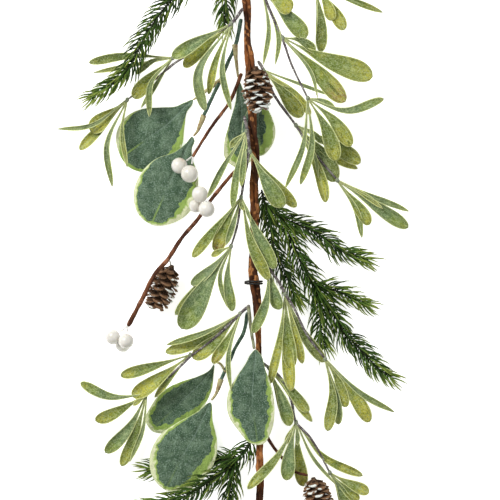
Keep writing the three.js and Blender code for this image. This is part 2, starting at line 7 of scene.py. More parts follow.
import bmesh
import bpy
import numpy as np
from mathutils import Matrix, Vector


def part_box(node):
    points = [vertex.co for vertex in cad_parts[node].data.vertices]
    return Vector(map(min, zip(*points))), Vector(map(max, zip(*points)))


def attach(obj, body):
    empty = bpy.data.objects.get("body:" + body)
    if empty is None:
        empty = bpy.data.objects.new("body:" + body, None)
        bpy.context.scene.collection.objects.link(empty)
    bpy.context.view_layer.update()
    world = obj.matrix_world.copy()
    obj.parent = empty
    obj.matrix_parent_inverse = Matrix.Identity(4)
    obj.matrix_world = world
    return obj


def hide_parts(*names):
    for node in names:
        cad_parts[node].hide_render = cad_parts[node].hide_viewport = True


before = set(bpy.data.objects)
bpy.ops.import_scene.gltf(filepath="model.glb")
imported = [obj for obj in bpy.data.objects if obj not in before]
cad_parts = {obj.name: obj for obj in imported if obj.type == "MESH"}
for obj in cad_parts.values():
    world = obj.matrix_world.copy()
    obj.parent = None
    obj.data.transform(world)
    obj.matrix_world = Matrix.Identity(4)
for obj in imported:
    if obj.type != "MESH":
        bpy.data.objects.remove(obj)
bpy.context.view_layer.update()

MM = 0.001  # every length below is in millimetres until a mesh is written
TURN = 2 * np.pi
GOLDEN_ANGLE = np.pi * (3 - np.sqrt(5))
UP = np.array([0.0, 0.0, 1.0])

# %% [markdown]
# The layout is written looking down on the garland, with its zero on the main stem.  The packed
# frame has its zero under the middle of the garland's box.  One berry whose centre is known in both
# gives the shift from one to the other.

# %% The datum
BERRIES = {
    "berry_upper_left": ((-57, 68, 13.8), 6.5),
    "berry_upper_right": ((-48.5, 61, 22.3), 7.0),
    "berry_middle_top": ((-40, 44.5, 27), 6.5),
    "berry_middle_front": ((-34.5, 32.5, 33), 6.5),
    "berry_middle_rear": ((-43.5, 35.5, 18), 5.6),
    "berry_end_left": ((-110.5, -70, 14.5), 6.1),
    "berry_end_right": ((-99.5, -73, 20), 6.1),
    "berry_end_rear": ((-103, -76.5, 7), 6.1),
}
datum_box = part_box("berry_end_left")
DATUM = np.array((datum_box[0] + datum_box[1]) / 2) / MM - np.array(BERRIES["berry_end_left"][0])
print("shift of the layout, in mm:", DATUM.round(2))

# %% [markdown]
# The garland is seen from straight above, like a product laid on a white table.  A long lens from
# well above keeps the tall pieces from leaning outwards.

# %% Camera
FIELD = 400.0  # width of the stretch of garland in view
LENS = 135.0
SENSOR = 36.0
VIEW_HEIGHT = 25.0  # the height at which the field is measured

camera_data = bpy.data.cameras.new("camera")
camera_data.lens = LENS
camera_data.sensor_width = SENSOR
camera = bpy.data.objects.new("camera", camera_data)
distance = FIELD * LENS / SENSOR
camera.location = Vector((DATUM[0], DATUM[1], VIEW_HEIGHT + distance)) * MM
bpy.context.scene.collection.objects.link(camera)
bpy.context.scene.camera = camera
print("camera height, in mm:", round(camera.location.z / MM))

# %% [markdown]
# Two broad soft lights and a bright surround give almost no shadow.  The table is a pale sheet that
# glows a little, which lifts the shadows between the leaves as a light table does.

# %% Table and lights
TABLE_SIZE = 40.0


def plain_table():
    """A flat square of TABLE_SIZE metres at height 0, nearly white, with a slight glow."""
    half = TABLE_SIZE / 2
    corners = [(-half, -half, 0), (half, -half, 0), (half, half, 0), (-half, half, 0)]
    mesh = bpy.data.meshes.new("table")
    mesh.from_pydata([Vector(c) for c in corners], [], [(0, 1, 2, 3)])
    paint = bpy.data.materials.new("table_paint")
    paint.use_nodes = True
    shader = paint.node_tree.nodes["Principled BSDF"]
    shader.inputs["Base Color"].default_value = (0.92, 0.92, 0.92, 1)
    shader.inputs["Roughness"].default_value = 0.9
    shader.inputs["Emission Color"].default_value = (1, 1, 1, 1)
    shader.inputs["Emission Strength"].default_value = 0.72
    mesh.materials.append(paint)
    table = bpy.data.objects.new("table", mesh)
    bpy.context.scene.collection.objects.link(table)


def soft_light(name, place, size, power):
    """A square area light at a place in metres, turned to face the middle of the garland."""
    data = bpy.data.lights.new(name, "AREA")
    data.energy = power
    data.size = size
    lamp = bpy.data.objects.new(name, data)
    lamp.location = place
    lamp.rotation_euler = (-Vector(place)).to_track_quat("-Z", "Y").to_euler()
    bpy.context.scene.collection.objects.link(lamp)


plain_table()
soft_light("key", (-0.9, 0.9, 1.3), 0.7, 30)
soft_light("fill", (1.2, -0.5, 1.6), 1.6, 7)
world = bpy.data.worlds.new("studio")
world.use_nodes = True
world.node_tree.nodes["Background"].inputs["Color"].default_value = (1, 1, 1, 1)
world.node_tree.nodes["Background"].inputs["Strength"].default_value = 0.36
bpy.context.scene.world = world
bpy.context.scene.view_settings.view_transform = "Standard"
print("table and lights are in place")

# %% [markdown]
# Almost every piece of the garland is a section carried along a path: a stem is a round section, a
# leaf is a flat one that widens and closes, and a needle is a thin one that tapers.  One function
# sweeps many sections at once, and the rest of the lesson only works out paths and widths.

# %% Paths and sweeps


def smooth_path(points, count):
    """Points spaced evenly by chord along a smooth curve through the given points.

    Between two given points the curve is a cubic whose end slopes are the central differences of
    the points by their distance along the chord.
    """
    points = np.array(points, float)
    chord = np.r_[0, np.cumsum(np.linalg.norm(np.diff(points, axis=0), axis=1))]
    slope = np.gradient(points, chord, axis=0)
    place = np.linspace(0, chord[-1], count)
    i = np.clip(np.searchsorted(chord, place, side="right") - 1, 0, len(points) - 2)
    step = (chord[i + 1] - chord[i])[:, None]
    s = (place - chord[i])[:, None] / step
    start = (2 * s**3 - 3 * s**2 + 1) * points[i] + (s**3 - 2 * s**2 + s) * step * slope[i]
    end = (3 * s**2 - 2 * s**3) * points[i + 1] + (s**3 - s**2) * step * slope[i + 1]
    return start + end


def ring_angles(sides):
    """The angles of points spaced evenly round a section."""
    return TURN * np.arange(sides) / sides


def unit(vectors):
    """Each vector divided by its length."""
    return vectors / np.maximum(np.linalg.norm(vectors, axis=-1, keepdims=True), 1e-9)


def directions(paths):
    """The way along each path, the level way across it, and the way up from it."""
    along = unit(np.gradient(paths, axis=-2))
    across = unit(np.cross(along, UP) + 1e-6)
    return along, across, np.cross(across, along)


def sweep(paths, wide, high, across=None, up=None, **marks):
    """Closed solids swept along N paths of R points, with K points round each section.

    Point k of a section is path + across * wide[k] + up * high[k].  `wide` and `high` have the
    shape (N, R, K), and each mark is an array that fits the same shape.
    """
    paths = np.asarray(paths, float)
    if across is None:
        _, across, up = directions(paths)
    points = (
        paths[:, :, None, :]
        + across[:, :, None, :] * wide[..., None]
        + up[:, :, None, :] * high[..., None]
    )
    solids, rings, sides = points.shape[:3]
    grid = np.arange(solids * rings * sides).reshape(solids, rings, sides)
    turned = np.roll(grid, -1, axis=2)
    walls = np.stack([grid[:, :-1], grid[:, 1:], turned[:, 1:], turned[:, :-1]], axis=-1)
    ends = np.concatenate([grid[:, 0], grid[:, -1, ::-1]])
    shape = {"points": points.reshape(-1, 3), "faces": [walls.reshape(-1, 4), ends], "marks": {}}
    for name, values in marks.items():
        full = np.broadcast_to(np.asarray(values, float), (solids, rings, sides))
        shape["marks"][name] = full.reshape(-1)
    return shape


def merged(shapes):
    """One shape that holds all the others, with their face numbers moved on."""
    names = {name for shape in shapes for name in shape["marks"]}
    whole = {"points": np.concatenate([s["points"] for s in shapes]), "faces": [], "marks": {}}
    first = 0
    for shape in shapes:
        whole["faces"] += [faces + first for faces in shape["faces"]]
        first += len(shape["points"])
    for name in names:
        missing = [np.zeros(len(s["points"])) for s in shapes]
        values = [s["marks"].get(name, zero) for s, zero in zip(shapes, missing)]
        whole["marks"][name] = np.concatenate(values)
    return whole


def make_piece(name, shape, finish, nodes, weld=False):
    """A mesh object from a shape in layout millimetres, riding on the garland's one body."""
    mesh = bpy.data.meshes.new(name)
    faces = [tuple(face) for block in shape["faces"] for face in block.tolist()]
    mesh.from_pydata(((shape["points"] + DATUM) * MM).tolist(), [], faces)
    for mark, values in shape["marks"].items():
        layer = mesh.attributes.new(mark, "FLOAT", "POINT")
        layer.data.foreach_set("value", values.astype(np.float32))
    if weld:
        editable = bmesh.new()
        editable.from_mesh(mesh)
        bmesh.ops.remove_doubles(editable, verts=editable.verts, dist=1e-5)
        bmesh.ops.dissolve_degenerate(editable, edges=editable.edges, dist=1e-6)
        editable.to_mesh(mesh)
        editable.free()
    mesh.shade_smooth()
    mesh.materials.append(finish)
    piece = bpy.data.objects.new(name + "_surface", mesh)
    bpy.context.scene.collection.objects.link(piece)
    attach(piece, "root")
    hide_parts(*nodes)
    print(name, "has", len(mesh.polygons), "faces")
    return piece


def rooted(points, reach=3.0):
    """The same route with its start pushed back a few millimetres, towards what it grows from."""
    points = np.array(points, float)
    points[0] += reach * unit(points[0] - points[1])
    return points


def round_bar(points, start, end, rings=60, sides=12, bumps=0.0, seed=0, **marks):
    """A round bar along a smooth path whose radius runs from start to end.

    The radius is r(u) * (1 + bumps * w(u, a)), where w is a sum of a few waves along the bar and
    round it, so that it isn't quite even.
    """
    path = smooth_path(points, rings)
    u = np.linspace(0, 1, rings)[:, None]
    angle = ring_angles(sides)
    draw = np.random.default_rng(seed)
    length = np.linalg.norm(np.diff(path, axis=0), axis=1).sum()
    uneven = np.zeros((rings, sides))
    for wave in (5.0, 9.0, 17.0):
        phase = draw.uniform(0, TURN, 2)
        turns = length / wave / 2
        uneven += np.sin(TURN * turns * u + phase[0] + np.sin(angle + phase[1]) * 1.3) / 3
    radius = (start + (end - start) * u) * (1 + bumps * uneven)
    close = np.minimum(1, 0.7 + 20 * np.minimum(u, 1 - u))
    radius = radius * close
    wide = (radius * np.cos(angle))[None]
    high = (radius * np.sin(angle))[None]
    marks = {"along": u[None], "uneven": uneven[None], **marks}
    return sweep(path[None], wide, high, **marks)


print("a path of three points, smoothed:", smooth_path([(0, 0), (1, 1), (2, 0)], 5).round(2).tolist())

# %% [markdown]
# Each finish is a small graph of nodes.  The graphs share the same few steps: read a mark that the
# mesh carries, add noise in the object's own space, turn a value into a mask, and lay one colour
# over another through the mask.  A small helper class names those steps.

# %% A helper for finishes


class Finish:
    """A material whose colour, roughness and relief are built up step by step."""

    def __init__(self, name, roughness=0.7, shine=0.2):
        self.material = bpy.data.materials.new(name)
        self.material.use_nodes = True
        self.tree = self.material.node_tree
        self.shader = self.tree.nodes["Principled BSDF"]
        self.shader.inputs["Roughness"].default_value = roughness
        self.shader.inputs["Specular IOR Level"].default_value = shine
        self.place = self.tree.nodes.new("ShaderNodeTexCoord").outputs["Object"]

    def connect(self, socket, value):
        """Links an output to a socket, or sets the socket to a constant."""
        if isinstance(value, bpy.types.NodeSocket):
            self.tree.links.new(value, socket)
        elif isinstance(value, tuple):
            socket.default_value = (*value, 1.0)
        else:
            socket.default_value = value

    def mark(self, name):
        """The value that the mesh carries under a name."""
        node = self.tree.nodes.new("ShaderNodeAttribute")
        node.attribute_name = name
        return node.outputs["Fac"]

    def noise(self, size, detail=3.0, stretch=None):
        """Noise from 0 to 1 with patches about `size` millimetres across."""
        node = self.tree.nodes.new("ShaderNodeTexNoise")
        node.inputs["Scale"].default_value = 1 / (size * MM)
        node.inputs["Detail"].default_value = detail
        place = self.place
        if stretch:
            mapping = self.tree.nodes.new("ShaderNodeMapping")
            mapping.inputs["Scale"].default_value = stretch
            self.connect(mapping.inputs["Vector"], place)
            place = mapping.outputs["Vector"]
        self.connect(node.inputs["Vector"], place)
        return node.outputs["Fac"]

    def leaf_noise(self, across, along):
        """Noise in a leaf's own directions: waves per millimetre across it, waves along it."""
        place = self.tree.nodes.new("ShaderNodeCombineXYZ")
        self.connect(place.inputs[0], self.math("MULTIPLY", self.mark("rib"), across))
        self.connect(place.inputs[1], self.math("MULTIPLY", self.mark("along"), along))
        self.connect(place.inputs[2], self.math("MULTIPLY", self.mark("yellow"), 31.0))
        node = self.tree.nodes.new("ShaderNodeTexNoise")
        node.inputs["Scale"].default_value = 1.0
        self.connect(node.inputs["Vector"], place.outputs["Vector"])
        return node.outputs["Fac"]

    def math(self, operation, first, second=0.0):
        """One step of arithmetic."""
        node = self.tree.nodes.new("ShaderNodeMath")
        node.operation = operation
        self.connect(node.inputs[0], first)
        self.connect(node.inputs[1], second)
        return node.outputs[0]

    def fade(self, value, low, high):
        """0 below low, 1 above high and a smooth step between; low above high turns it round."""
        node = self.tree.nodes.new("ShaderNodeMapRange")
        node.interpolation_type = "SMOOTHSTEP"
        flip = low > high
        self.connect(node.inputs["Value"], value)
        node.inputs["From Min"].default_value = min(low, high)
        node.inputs["From Max"].default_value = max(low, high)
        node.inputs["To Min"].default_value = float(flip)
        node.inputs["To Max"].default_value = float(not flip)
        return node.outputs["Result"]

    def blend(self, mask, under, over, strength=None):
        """The colour `over` laid on the colour `under` through a mask, weakened by a strength."""
        if strength is not None:
            mask = self.math("MULTIPLY", mask, strength)
        node = self.tree.nodes.new("ShaderNodeMix")
        node.data_type = "RGBA"
        self.connect(node.inputs["Factor"], mask)
        self.connect(node.inputs[6], under)
        self.connect(node.inputs[7], over)
        return node.outputs[2]

    def finish(self, colour, relief=None, depth=0.3, roughness=None):
        """Connects the colour, a relief `depth` millimetres deep, and a varying roughness."""
        self.connect(self.shader.inputs["Base Color"], colour)
        if relief is not None:
            node = self.tree.nodes.new("ShaderNodeBump")
            node.inputs["Distance"].default_value = depth * MM
            self.connect(node.inputs["Height"], relief)
            self.connect(self.shader.inputs["Normal"], node.outputs["Normal"])
        if roughness is not None:
            self.connect(self.shader.inputs["Roughness"], roughness)
        return self.material


print("steps of a finish:", [step for step in vars(Finish) if not step.startswith("_")])

# %% [markdown]
# The main stem is a bundle of thin dried twigs.  Their bark runs from dark chocolate to a warm
# orange brown, with fine cracks along the twig and paler knots.  Noise stretched along the stem
# gives the cracks, and the mark `uneven` puts the paler bark on the bumps.

# %% Bark


def bark(name, dark, warm, pale, crack_depth):
    """Dried bark: dark in the hollows, warm on the faces and pale on the bumps."""
    f = Finish(name, roughness=0.85)
    cracks = f.noise(1.1, 4, stretch=(1, 0.14, 1))
    patches = f.noise(16, 3, stretch=(1, 0.5, 1))
    colour = f.blend(f.fade(patches, 0.4, 0.62), dark, warm)
    colour = f.blend(f.fade(f.mark("uneven"), 0.25, 0.7), colour, pale, 0.75)
    colour = f.blend(f.fade(cracks, 0.5, 0.36), colour, dark, 0.8)
    return f.finish(colour, relief=cracks, depth=crack_depth)


STEM_BARK = bark("stem_bark", (0.045, 0.014, 0.005), (0.25, 0.085, 0.024), (0.5, 0.21, 0.07), 0.9)
TWIG_BARK = bark("twig_bark", (0.055, 0.018, 0.009), (0.2, 0.075, 0.032), (0.34, 0.15, 0.08), 0.3)
print("bark is ready")

# %% [markdown]
# The leaves of the sprays are moulded and then dusted with a pale frost.  The frost gathers on the
# rim, along the midrib and in fine specks.  Every leaf carries marks: how far a point is from the
# rim and from the midrib in millimetres, how far along the leaf it is, and how yellow, how dark
# and how rusty the leaf is.

# %% Frosted leaf finish
FROSTED = {  # linear red, green and blue
    "sage": (0.115, 0.195, 0.075),
    "olive": (0.2, 0.27, 0.035),
    "gold": (0.62, 0.6, 0.07),
    "pale patch": (0.31, 0.4, 0.14),
    "dark patch": (0.08, 0.105, 0.025),
    "shade": (0.06, 0.08, 0.022),
    "rust": (0.3, 0.15, 0.03),
    "pale streak": (0.47, 0.55, 0.25),
    "dark streak": (0.075, 0.11, 0.025),
    # painted shade, laid in a band just inside the rim
    "hollow": (0.09, 0.11, 0.03),
    "pale grain": (0.52, 0.59, 0.34),
    "dark grain": (0.07, 0.1, 0.02),
    "midrib": (0.46, 0.52, 0.27),
    "rim": (0.69, 0.73, 0.33),
    "dust": (0.5, 0.56, 0.3),
    "underside": (0.36, 0.43, 0.27),
}


def frosted_leaf():
    """Sage to olive leaf colour under pale frost, with a greyer underside."""
    f = Finish("frosted_leaf", roughness=0.75, shine=0.12)
    mottle = f.noise(2.4, 5)
    patches = f.noise(9, 3)
    fine = f.noise(0.6, 3)
    tone = f.math("ADD", f.mark("yellow"), f.math("MULTIPLY", f.math("SUBTRACT", patches, 0.5), 1.6))
    tone = f.math("ADD", tone, f.math("MULTIPLY", f.fade(f.mark("along"), 0.5, 1.0), 0.65))
    streaks = f.leaf_noise(2.4, 6.0)
    colour = f.blend(f.fade(tone, 0.0, 0.55), FROSTED["sage"], FROSTED["olive"])
    colour = f.blend(f.fade(tone, 0.55, 1.25), colour, FROSTED["gold"])
    colour = f.blend(f.fade(mottle, 0.5, 0.68), colour, FROSTED["pale patch"], 0.6)
    colour = f.blend(f.fade(mottle, 0.46, 0.32), colour, FROSTED["dark patch"], 0.6)
    shade = f.math("MULTIPLY", f.mark("dark"), 0.75)
    colour = f.blend(shade, colour, FROSTED["shade"])
    rust = f.math("MULTIPLY", f.mark("rust"), f.fade(f.mark("along"), 0.62, 0.98))
    colour = f.blend(rust, colour, FROSTED["rust"], f.fade(mottle, 0.35, 0.6))
    colour = f.blend(f.fade(streaks, 0.52, 0.64), colour, FROSTED["pale streak"], 0.5)
    colour = f.blend(f.fade(streaks, 0.46, 0.32), colour, FROSTED["dark streak"], 0.7)
    # painted shade: a band from 0.7 to 2.6 mm inside the frosted rim is darkened, as the shade of the
    # hollow there
    hollow = f.math("MULTIPLY", f.fade(f.mark("edge"), 0.7, 1.2), f.fade(f.mark("edge"), 2.6, 1.2))
    colour = f.blend(hollow, colour, FROSTED["hollow"], 0.45)
    grain = f.noise(1.1, 4)
    colour = f.blend(f.fade(grain, 0.5, 0.64), colour, FROSTED["pale grain"], 0.4)
    colour = f.blend(f.fade(grain, 0.47, 0.34), colour, FROSTED["dark grain"], 0.45)
    rib = f.fade(f.mark("rib"), 0.5, 0.1)
    colour = f.blend(rib, colour, FROSTED["midrib"], 0.6)
    ragged = f.math("ADD", f.mark("edge"), f.math("MULTIPLY", f.math("SUBTRACT", mottle, 0.5), 0.9))
    rim = f.fade(ragged, 0.75, 0.25)
    colour = f.blend(rim, colour, FROSTED["rim"], 0.95)
    dust = f.math("MULTIPLY", f.fade(fine, 0.5, 0.7), f.fade(mottle, 0.35, 0.6))
    colour = f.blend(dust, colour, FROSTED["dust"], 0.4)
    colour = f.blend(f.mark("under"), colour, FROSTED["underside"], 0.4)
    relief = f.math("ADD", f.math("MULTIPLY", fine, 0.35), f.math("ADD", mottle, rib))
    f.shader.inputs["Sheen Weight"].default_value = 0.03
    return f.finish(colour, relief=relief, depth=0.7)


def frosted_stem():
    """Grey purple stem with pale flecks."""
    f = Finish("frosted_stem", roughness=0.8)
    flecks = f.noise(1.3, 3)
    colour = f.blend(f.fade(f.noise(6, 2), 0.35, 0.65), (0.085, 0.065, 0.07), (0.2, 0.18, 0.17))
    colour = f.blend(f.fade(flecks, 0.56, 0.66), colour, (0.52, 0.52, 0.48))
    colour = f.blend(f.mark("green"), colour, (0.3, 0.36, 0.22), 0.75)
    return f.finish(colour, relief=flecks, depth=0.4)


LEAF_FINISH = frosted_leaf()
STEM_FINISH = frosted_stem()
print("frosted finishes are ready")

# %% [markdown]
# The large eucalyptus leaves are printed cloth.  A blue green middle with a jagged edge lies on a
# lime zone, and a cream margin runs round part of the rim.  Each leaf carries the width of its
# cream margin and of its lime zone round the rim, and noise makes both edges ragged.

# %% Printed leaf finish
PRINTED = {  # linear red, green and blue
    "deep green": (0.052, 0.102, 0.056),
    "blue green": (0.14, 0.215, 0.135),
    "pale felt": (0.3, 0.4, 0.32),
    "dark felt": (0.03, 0.065, 0.028),
    "lime": (0.32, 0.46, 0.11),
    "halo": (0.48, 0.6, 0.22),
    "cream": (0.76, 0.8, 0.5),
    "rim": (0.55, 0.66, 0.3),
    "streak": (0.34, 0.5, 0.12),
    "vein": (0.26, 0.35, 0.29),
}


def printed_leaf():
    """Blue green middle, lime zone and cream margin on fine felted cloth."""
    f = Finish("printed_leaf", roughness=0.82)
    felt = f.noise(1.0, 5)
    mottle = f.noise(7, 3)
    ragged = f.math("SUBTRACT", f.noise(5.5, 3), 0.5)
    wander = f.math("MINIMUM", f.math("ADD", f.math("MULTIPLY", f.mark("lime"), 1.6), 0.4), 9.0)
    depth_in = f.math("ADD", f.mark("edge"), f.math("MULTIPLY", ragged, wander))
    colour = f.blend(f.fade(mottle, 0.3, 0.72), PRINTED["deep green"], PRINTED["blue green"])
    colour = f.blend(f.fade(felt, 0.5, 0.68), colour, PRINTED["pale felt"], 0.6)
    colour = f.blend(f.fade(felt, 0.47, 0.32), colour, PRINTED["dark felt"], 0.6)
    zone = f.math("SUBTRACT", depth_in, f.mark("lime"))
    colour = f.blend(f.fade(zone, 0.25, -0.25), colour, PRINTED["lime"])
    margin = f.math("SUBTRACT", depth_in, f.mark("cream"))
    halo = f.math("MULTIPLY", f.fade(margin, 0.8, 0.1), f.fade(f.mark("cream"), 0.4, 1.2))
    colour = f.blend(halo, colour, PRINTED["halo"])
    colour = f.blend(f.fade(margin, 0.2, -0.5), colour, PRINTED["cream"])
    rim = f.fade(f.mark("edge"), 0.7, 0.2)
    colour = f.blend(rim, colour, PRINTED["rim"], 0.6)
    streak = f.math("MULTIPLY", f.mark("streak"), f.fade(f.mark("rib"), 1.1, 0.3))
    streak = f.math("MULTIPLY", streak, f.fade(f.mark("along"), 0.6, 0.8))
    colour = f.blend(streak, colour, PRINTED["streak"])
    vein = f.math("MULTIPLY", f.fade(f.mark("rib"), 0.6, 0.1), f.fade(f.mark("along"), 0.7, 0.4))
    colour = f.blend(vein, colour, PRINTED["vein"], 0.45)
    wrinkles = f.math("MULTIPLY", f.noise(6, 2, stretch=(1, 0.6, 1)), 2.2)
    relief = f.math("ADD", wrinkles, f.math("MULTIPLY", felt, 0.7))
    f.shader.inputs["Sheen Weight"].default_value = 0.1
    return f.finish(colour, relief=relief, depth=1.5)


def teal_stem():
    """Grey teal stem; the mark `tan` turns it into the tan of the sockets and leaf stalks."""
    f = Finish("teal_stem", roughness=0.6)
    patches = f.noise(3, 3)
    teal = f.blend(f.fade(patches, 0.35, 0.65), (0.045, 0.09, 0.06), (0.12, 0.19, 0.14))
    tan = f.blend(f.fade(patches, 0.35, 0.65), (0.3, 0.2, 0.1), (0.5, 0.46, 0.24))
    colour = f.blend(f.fade(f.mark("tan"), 0.25, 0.7), teal, tan)
    return f.finish(colour, relief=f.noise(0.8, 2), depth=0.15)


PRINT_FINISH = printed_leaf()
TEAL_FINISH = teal_stem()
print("finishes of the large leaves are ready")

# %% [markdown]
# Pine needles are dark and a little glossy, and their tips fade to yellow green.  The berries are
# foam balls with a pearly coat.  The cones are real: brown woody scales whose lips are frosted.

# %% Pine, berry, cone and wire finishes


def pine_finish():
    """Dark green, near black towards the foot as painted shade deep in the sprig, with a yellow green
    tip; `yellow` varies from needle to needle.
    """
    f = Finish("pine_needle", roughness=0.5, shine=0.1)
    patches = f.noise(12, 2)
    colour = f.blend(f.fade(patches, 0.35, 0.65), (0.015, 0.04, 0.006), (0.05, 0.11, 0.015))
    colour = f.blend(f.fade(f.mark("yellow"), 0.3, 0.9), colour, (0.1, 0.19, 0.03))
    # painted shade: the foot of every needle, deep in the sprig, is darkened to near black
    colour = f.blend(f.fade(f.mark("along"), 0.35, 0.0), colour, (0.004, 0.01, 0.002))
    tip = f.fade(f.math("ADD", f.mark("along"), f.math("MULTIPLY", f.mark("yellow"), 0.5)), 0.7, 1.35)
    colour = f.blend(tip, colour, (0.26, 0.32, 0.06))
    colour = f.blend(f.mark("woody"), colour, (0.02, 0.03, 0.007))
    return f.finish(colour)


def pearl_finish():
    """Soft pearly white with a faint warm tint."""
    f = Finish("pearl", roughness=0.32)
    tint = f.noise(9, 2)
    colour = f.blend(f.fade(tint, 0.4, 0.7), (0.75, 0.73, 0.67), (0.66, 0.63, 0.55))
    colour = f.blend(f.mark("stain"), colour, (0.5, 0.36, 0.24))
    f.shader.inputs["Subsurface Weight"].default_value = 0.12
    f.shader.inputs["Subsurface Radius"].default_value = (0.004, 0.003, 0.002)
    f.shader.inputs["Coat Weight"].default_value = 0.6
    f.shader.inputs["Coat Roughness"].default_value = 0.15
    return f.finish(colour, relief=f.noise(1.6, 2), depth=0.04)


def cone_finish(name, frost):
    """Woody brown scales with painted shade near black towards the spindle, and frost on their lips;
    frost is 0 to 1.
    """
    f = Finish(name, roughness=0.85)
    grain = f.noise(1.2, 3)
    patches = f.noise(3.5, 3)
    # painted shade: a scale runs from near black at the spindle, deep in the cone, to brown at its lip
    colour = f.blend(f.mark("along"), (0.006, 0.003, 0.002), (0.23, 0.125, 0.065))
    colour = f.blend(f.fade(grain, 0.45, 0.7), colour, (0.34, 0.2, 0.11), 0.5)
    clouds = f.noise(14, 2)
    lip = f.math("ADD", f.mark("along"), f.math("MULTIPLY", f.math("SUBTRACT", patches, 0.5), 1.1))
    lip = f.math("ADD", lip, f.math("MULTIPLY", f.math("SUBTRACT", clouds, 0.5), 2.2 * frost))
    white = f.fade(lip, 1.15 - 0.25 * frost, 1.25 - 0.2 * frost)
    colour = f.blend(white, colour, (0.8, 0.84, 0.79))
    return f.finish(colour, relief=f.math("ADD", grain, patches), depth=0.4)


def plain_finish(name, colour, other, roughness, metallic=0.0):
    """Two close colours mixed by noise."""
    f = Finish(name, roughness=roughness)
    f.shader.inputs["Metallic"].default_value = metallic
    return f.finish(f.blend(f.noise(2, 2), colour, other), relief=f.noise(0.7, 2), depth=0.08)


PINE_FINISH = pine_finish()
PEARL_FINISH = pearl_finish()
CONE_FINISHES = {
    "cone_stem": cone_finish("frosted_cone", 1.0),
    "cone_left": cone_finish("brown_cone", 0.5),
    "cone_bottom": cone_finish("grey_cone", 0.75),
}
WHITE_WIRE = plain_finish("white_wire", (0.75, 0.75, 0.72), (0.6, 0.58, 0.53), 0.5)
DARK_WIRE = plain_finish("dark_wire", (0.012, 0.011, 0.011), (0.05, 0.045, 0.04), 0.4, 0.5)
print("all finishes are ready")

# %% [markdown]
# The bundle is three twigs that wind round one line, each a third of a turn from the next.  Their
# thickness follows the bundle's width.  A helix needs no drawing: its angle grows with the length
# along the stem, and the offset from the line keeps the twigs just clear of each other.

# %% Main stem
STEM_HEIGHT = 26.0
TWIST_PITCH = 110.0
TWIG_SWELL = 1.1  # bark stands a little outside the solid twig
BARK_DEPTH = 0.11
KNOT_SWELL = 0.3
KNOT_REACH = 2.6
TWIG_CLEARANCE = 0.3
# x, y and width of the bundle, from the top end to the bottom end
STEM_LINE = [
    (-3, 250, 8), (-3, 225, 8), (-2.5, 200, 8), (-2, 172, 6), (-0.5, 150, 9), (0.5, 125, 8),
    (2, 100, 8), (4, 80, 7.5), (4, 60, 8), (3, 40, 8), (4, 20, 8), (2.5, -5, 8), (4, -30, 9),
    (6, -50, 7), (6.5, -70, 5.5), (7.5, -105, 6), (7.5, -135, 6), (8, -165, 6.5), (8, -200, 7),
    (8, -232, 7),
]


def bundle_twig(number, rings=420, sides=14):
    """One twig of the bundle: centre = line + offset * (cos t, 0, sin t), t growing with y."""
    line = smooth_path(STEM_LINE, rings)
    width = line[:, 2]
    radius = (width / 2 - TWIG_CLEARANCE) / 2.3
    offset = 1.22 * radius + TWIG_CLEARANCE / 2
    turn = TURN * line[:, 1] / TWIST_PITCH + TURN * number / 3
    x = line[:, 0] + offset * np.cos(turn)
    z = STEM_HEIGHT + offset * np.sin(turn)
    path = np.stack([x, line[:, 1], z], axis=1)
    angle = ring_angles(sides)
    draw = np.random.default_rng(40 + number)
    y = line[:, 1][:, None]
    uneven = np.zeros((rings, sides))
    for wave in (47.0, 21.0, 9.0, 5.0):
        phase = draw.uniform(0, TURN, 2)
        uneven += np.sin(TURN * y / wave + phase[0] + 1.5 * np.sin(angle + phase[1])) / 3.2
    knots = draw.uniform(-225, 240, 9)
    lump = np.exp(-(((y[:, :, None] - knots) / KNOT_REACH) ** 2)).sum(axis=2)
    knot = lump * (1 + np.cos(angle - number)) / 2
    swell = TWIG_SWELL * radius[:, None] * (1 + BARK_DEPTH * uneven + KNOT_SWELL * knot)
    marks = {"uneven": (uneven + lump)[None]}
    return sweep(path[None], (swell * np.cos(angle))[None], (swell * np.sin(angle))[None], **marks)


for number in range(3):
    name = f"main_twig_{number + 1}"
    make_piece(name, bundle_twig(number), STEM_BARK, [name])

# %% [markdown]
# A wire band holds the bundle near its middle.  Two turns of dark wire lie side by side round the
# twigs, and their ends are twisted into a short pigtail on the left.

# %% Wire tie
TIE_TURNS = 1.5


def wire_tie(middle=(3.6, -26.0), radius=6.1, wire=0.8):
    """Two rings of wire round the bundle and a pigtail of two wires wound round each other."""
    turn = np.linspace(0, TURN, 73)[:, None]
    shapes = []
    for shift in (-0.9, 0.9):
        x = middle[0] + radius * np.cos(turn)
        z = STEM_HEIGHT + radius * np.sin(turn)
        path = np.hstack([x, np.full_like(x, middle[1] + shift), z])
        angle = ring_angles(8)
        across = np.tile([0.0, 1.0, 0.0], (1, len(path), 1))
        outward = np.hstack([np.cos(turn), np.zeros_like(turn), np.sin(turn)])[None]
        wide = np.tile(wire * np.cos(angle), (1, len(path), 1))
        high = np.tile(wire * np.sin(angle), (1, len(path), 1))
        shapes.append(sweep(path[None], wide, high, across=across, up=outward))
    for phase in (0.0, np.pi):
        t = np.linspace(0, 1, 40)
        x = middle[0] - radius - 1.4 * t
        y = middle[1] + 0.55 * np.sin(TIE_TURNS * TURN * t + phase)
        z = STEM_HEIGHT + 1.0 + 0.55 * np.cos(TIE_TURNS * TURN * t + phase)
        shapes.append(round_bar(np.stack([x, y, z], axis=1), wire, wire, rings=50, sides=8))
    return merged(shapes)


make_piece("stem_tie", wire_tie(), DARK_WIRE, ["stem_tie"], weld=True)

# %% [markdown]
# A leaf spray is a stem with two to four whorls.  A whorl is a small moulded knuckle that its leaves
# grow from.  The list gives each stem's route, each whorl's place and each leaf's middle and tip as
# seen from above, with its width, the rise from the knuckle to its tip, the arch of its middle, and
# its tone.  The same places as in the packed solids keep each leaf where its solid lies.

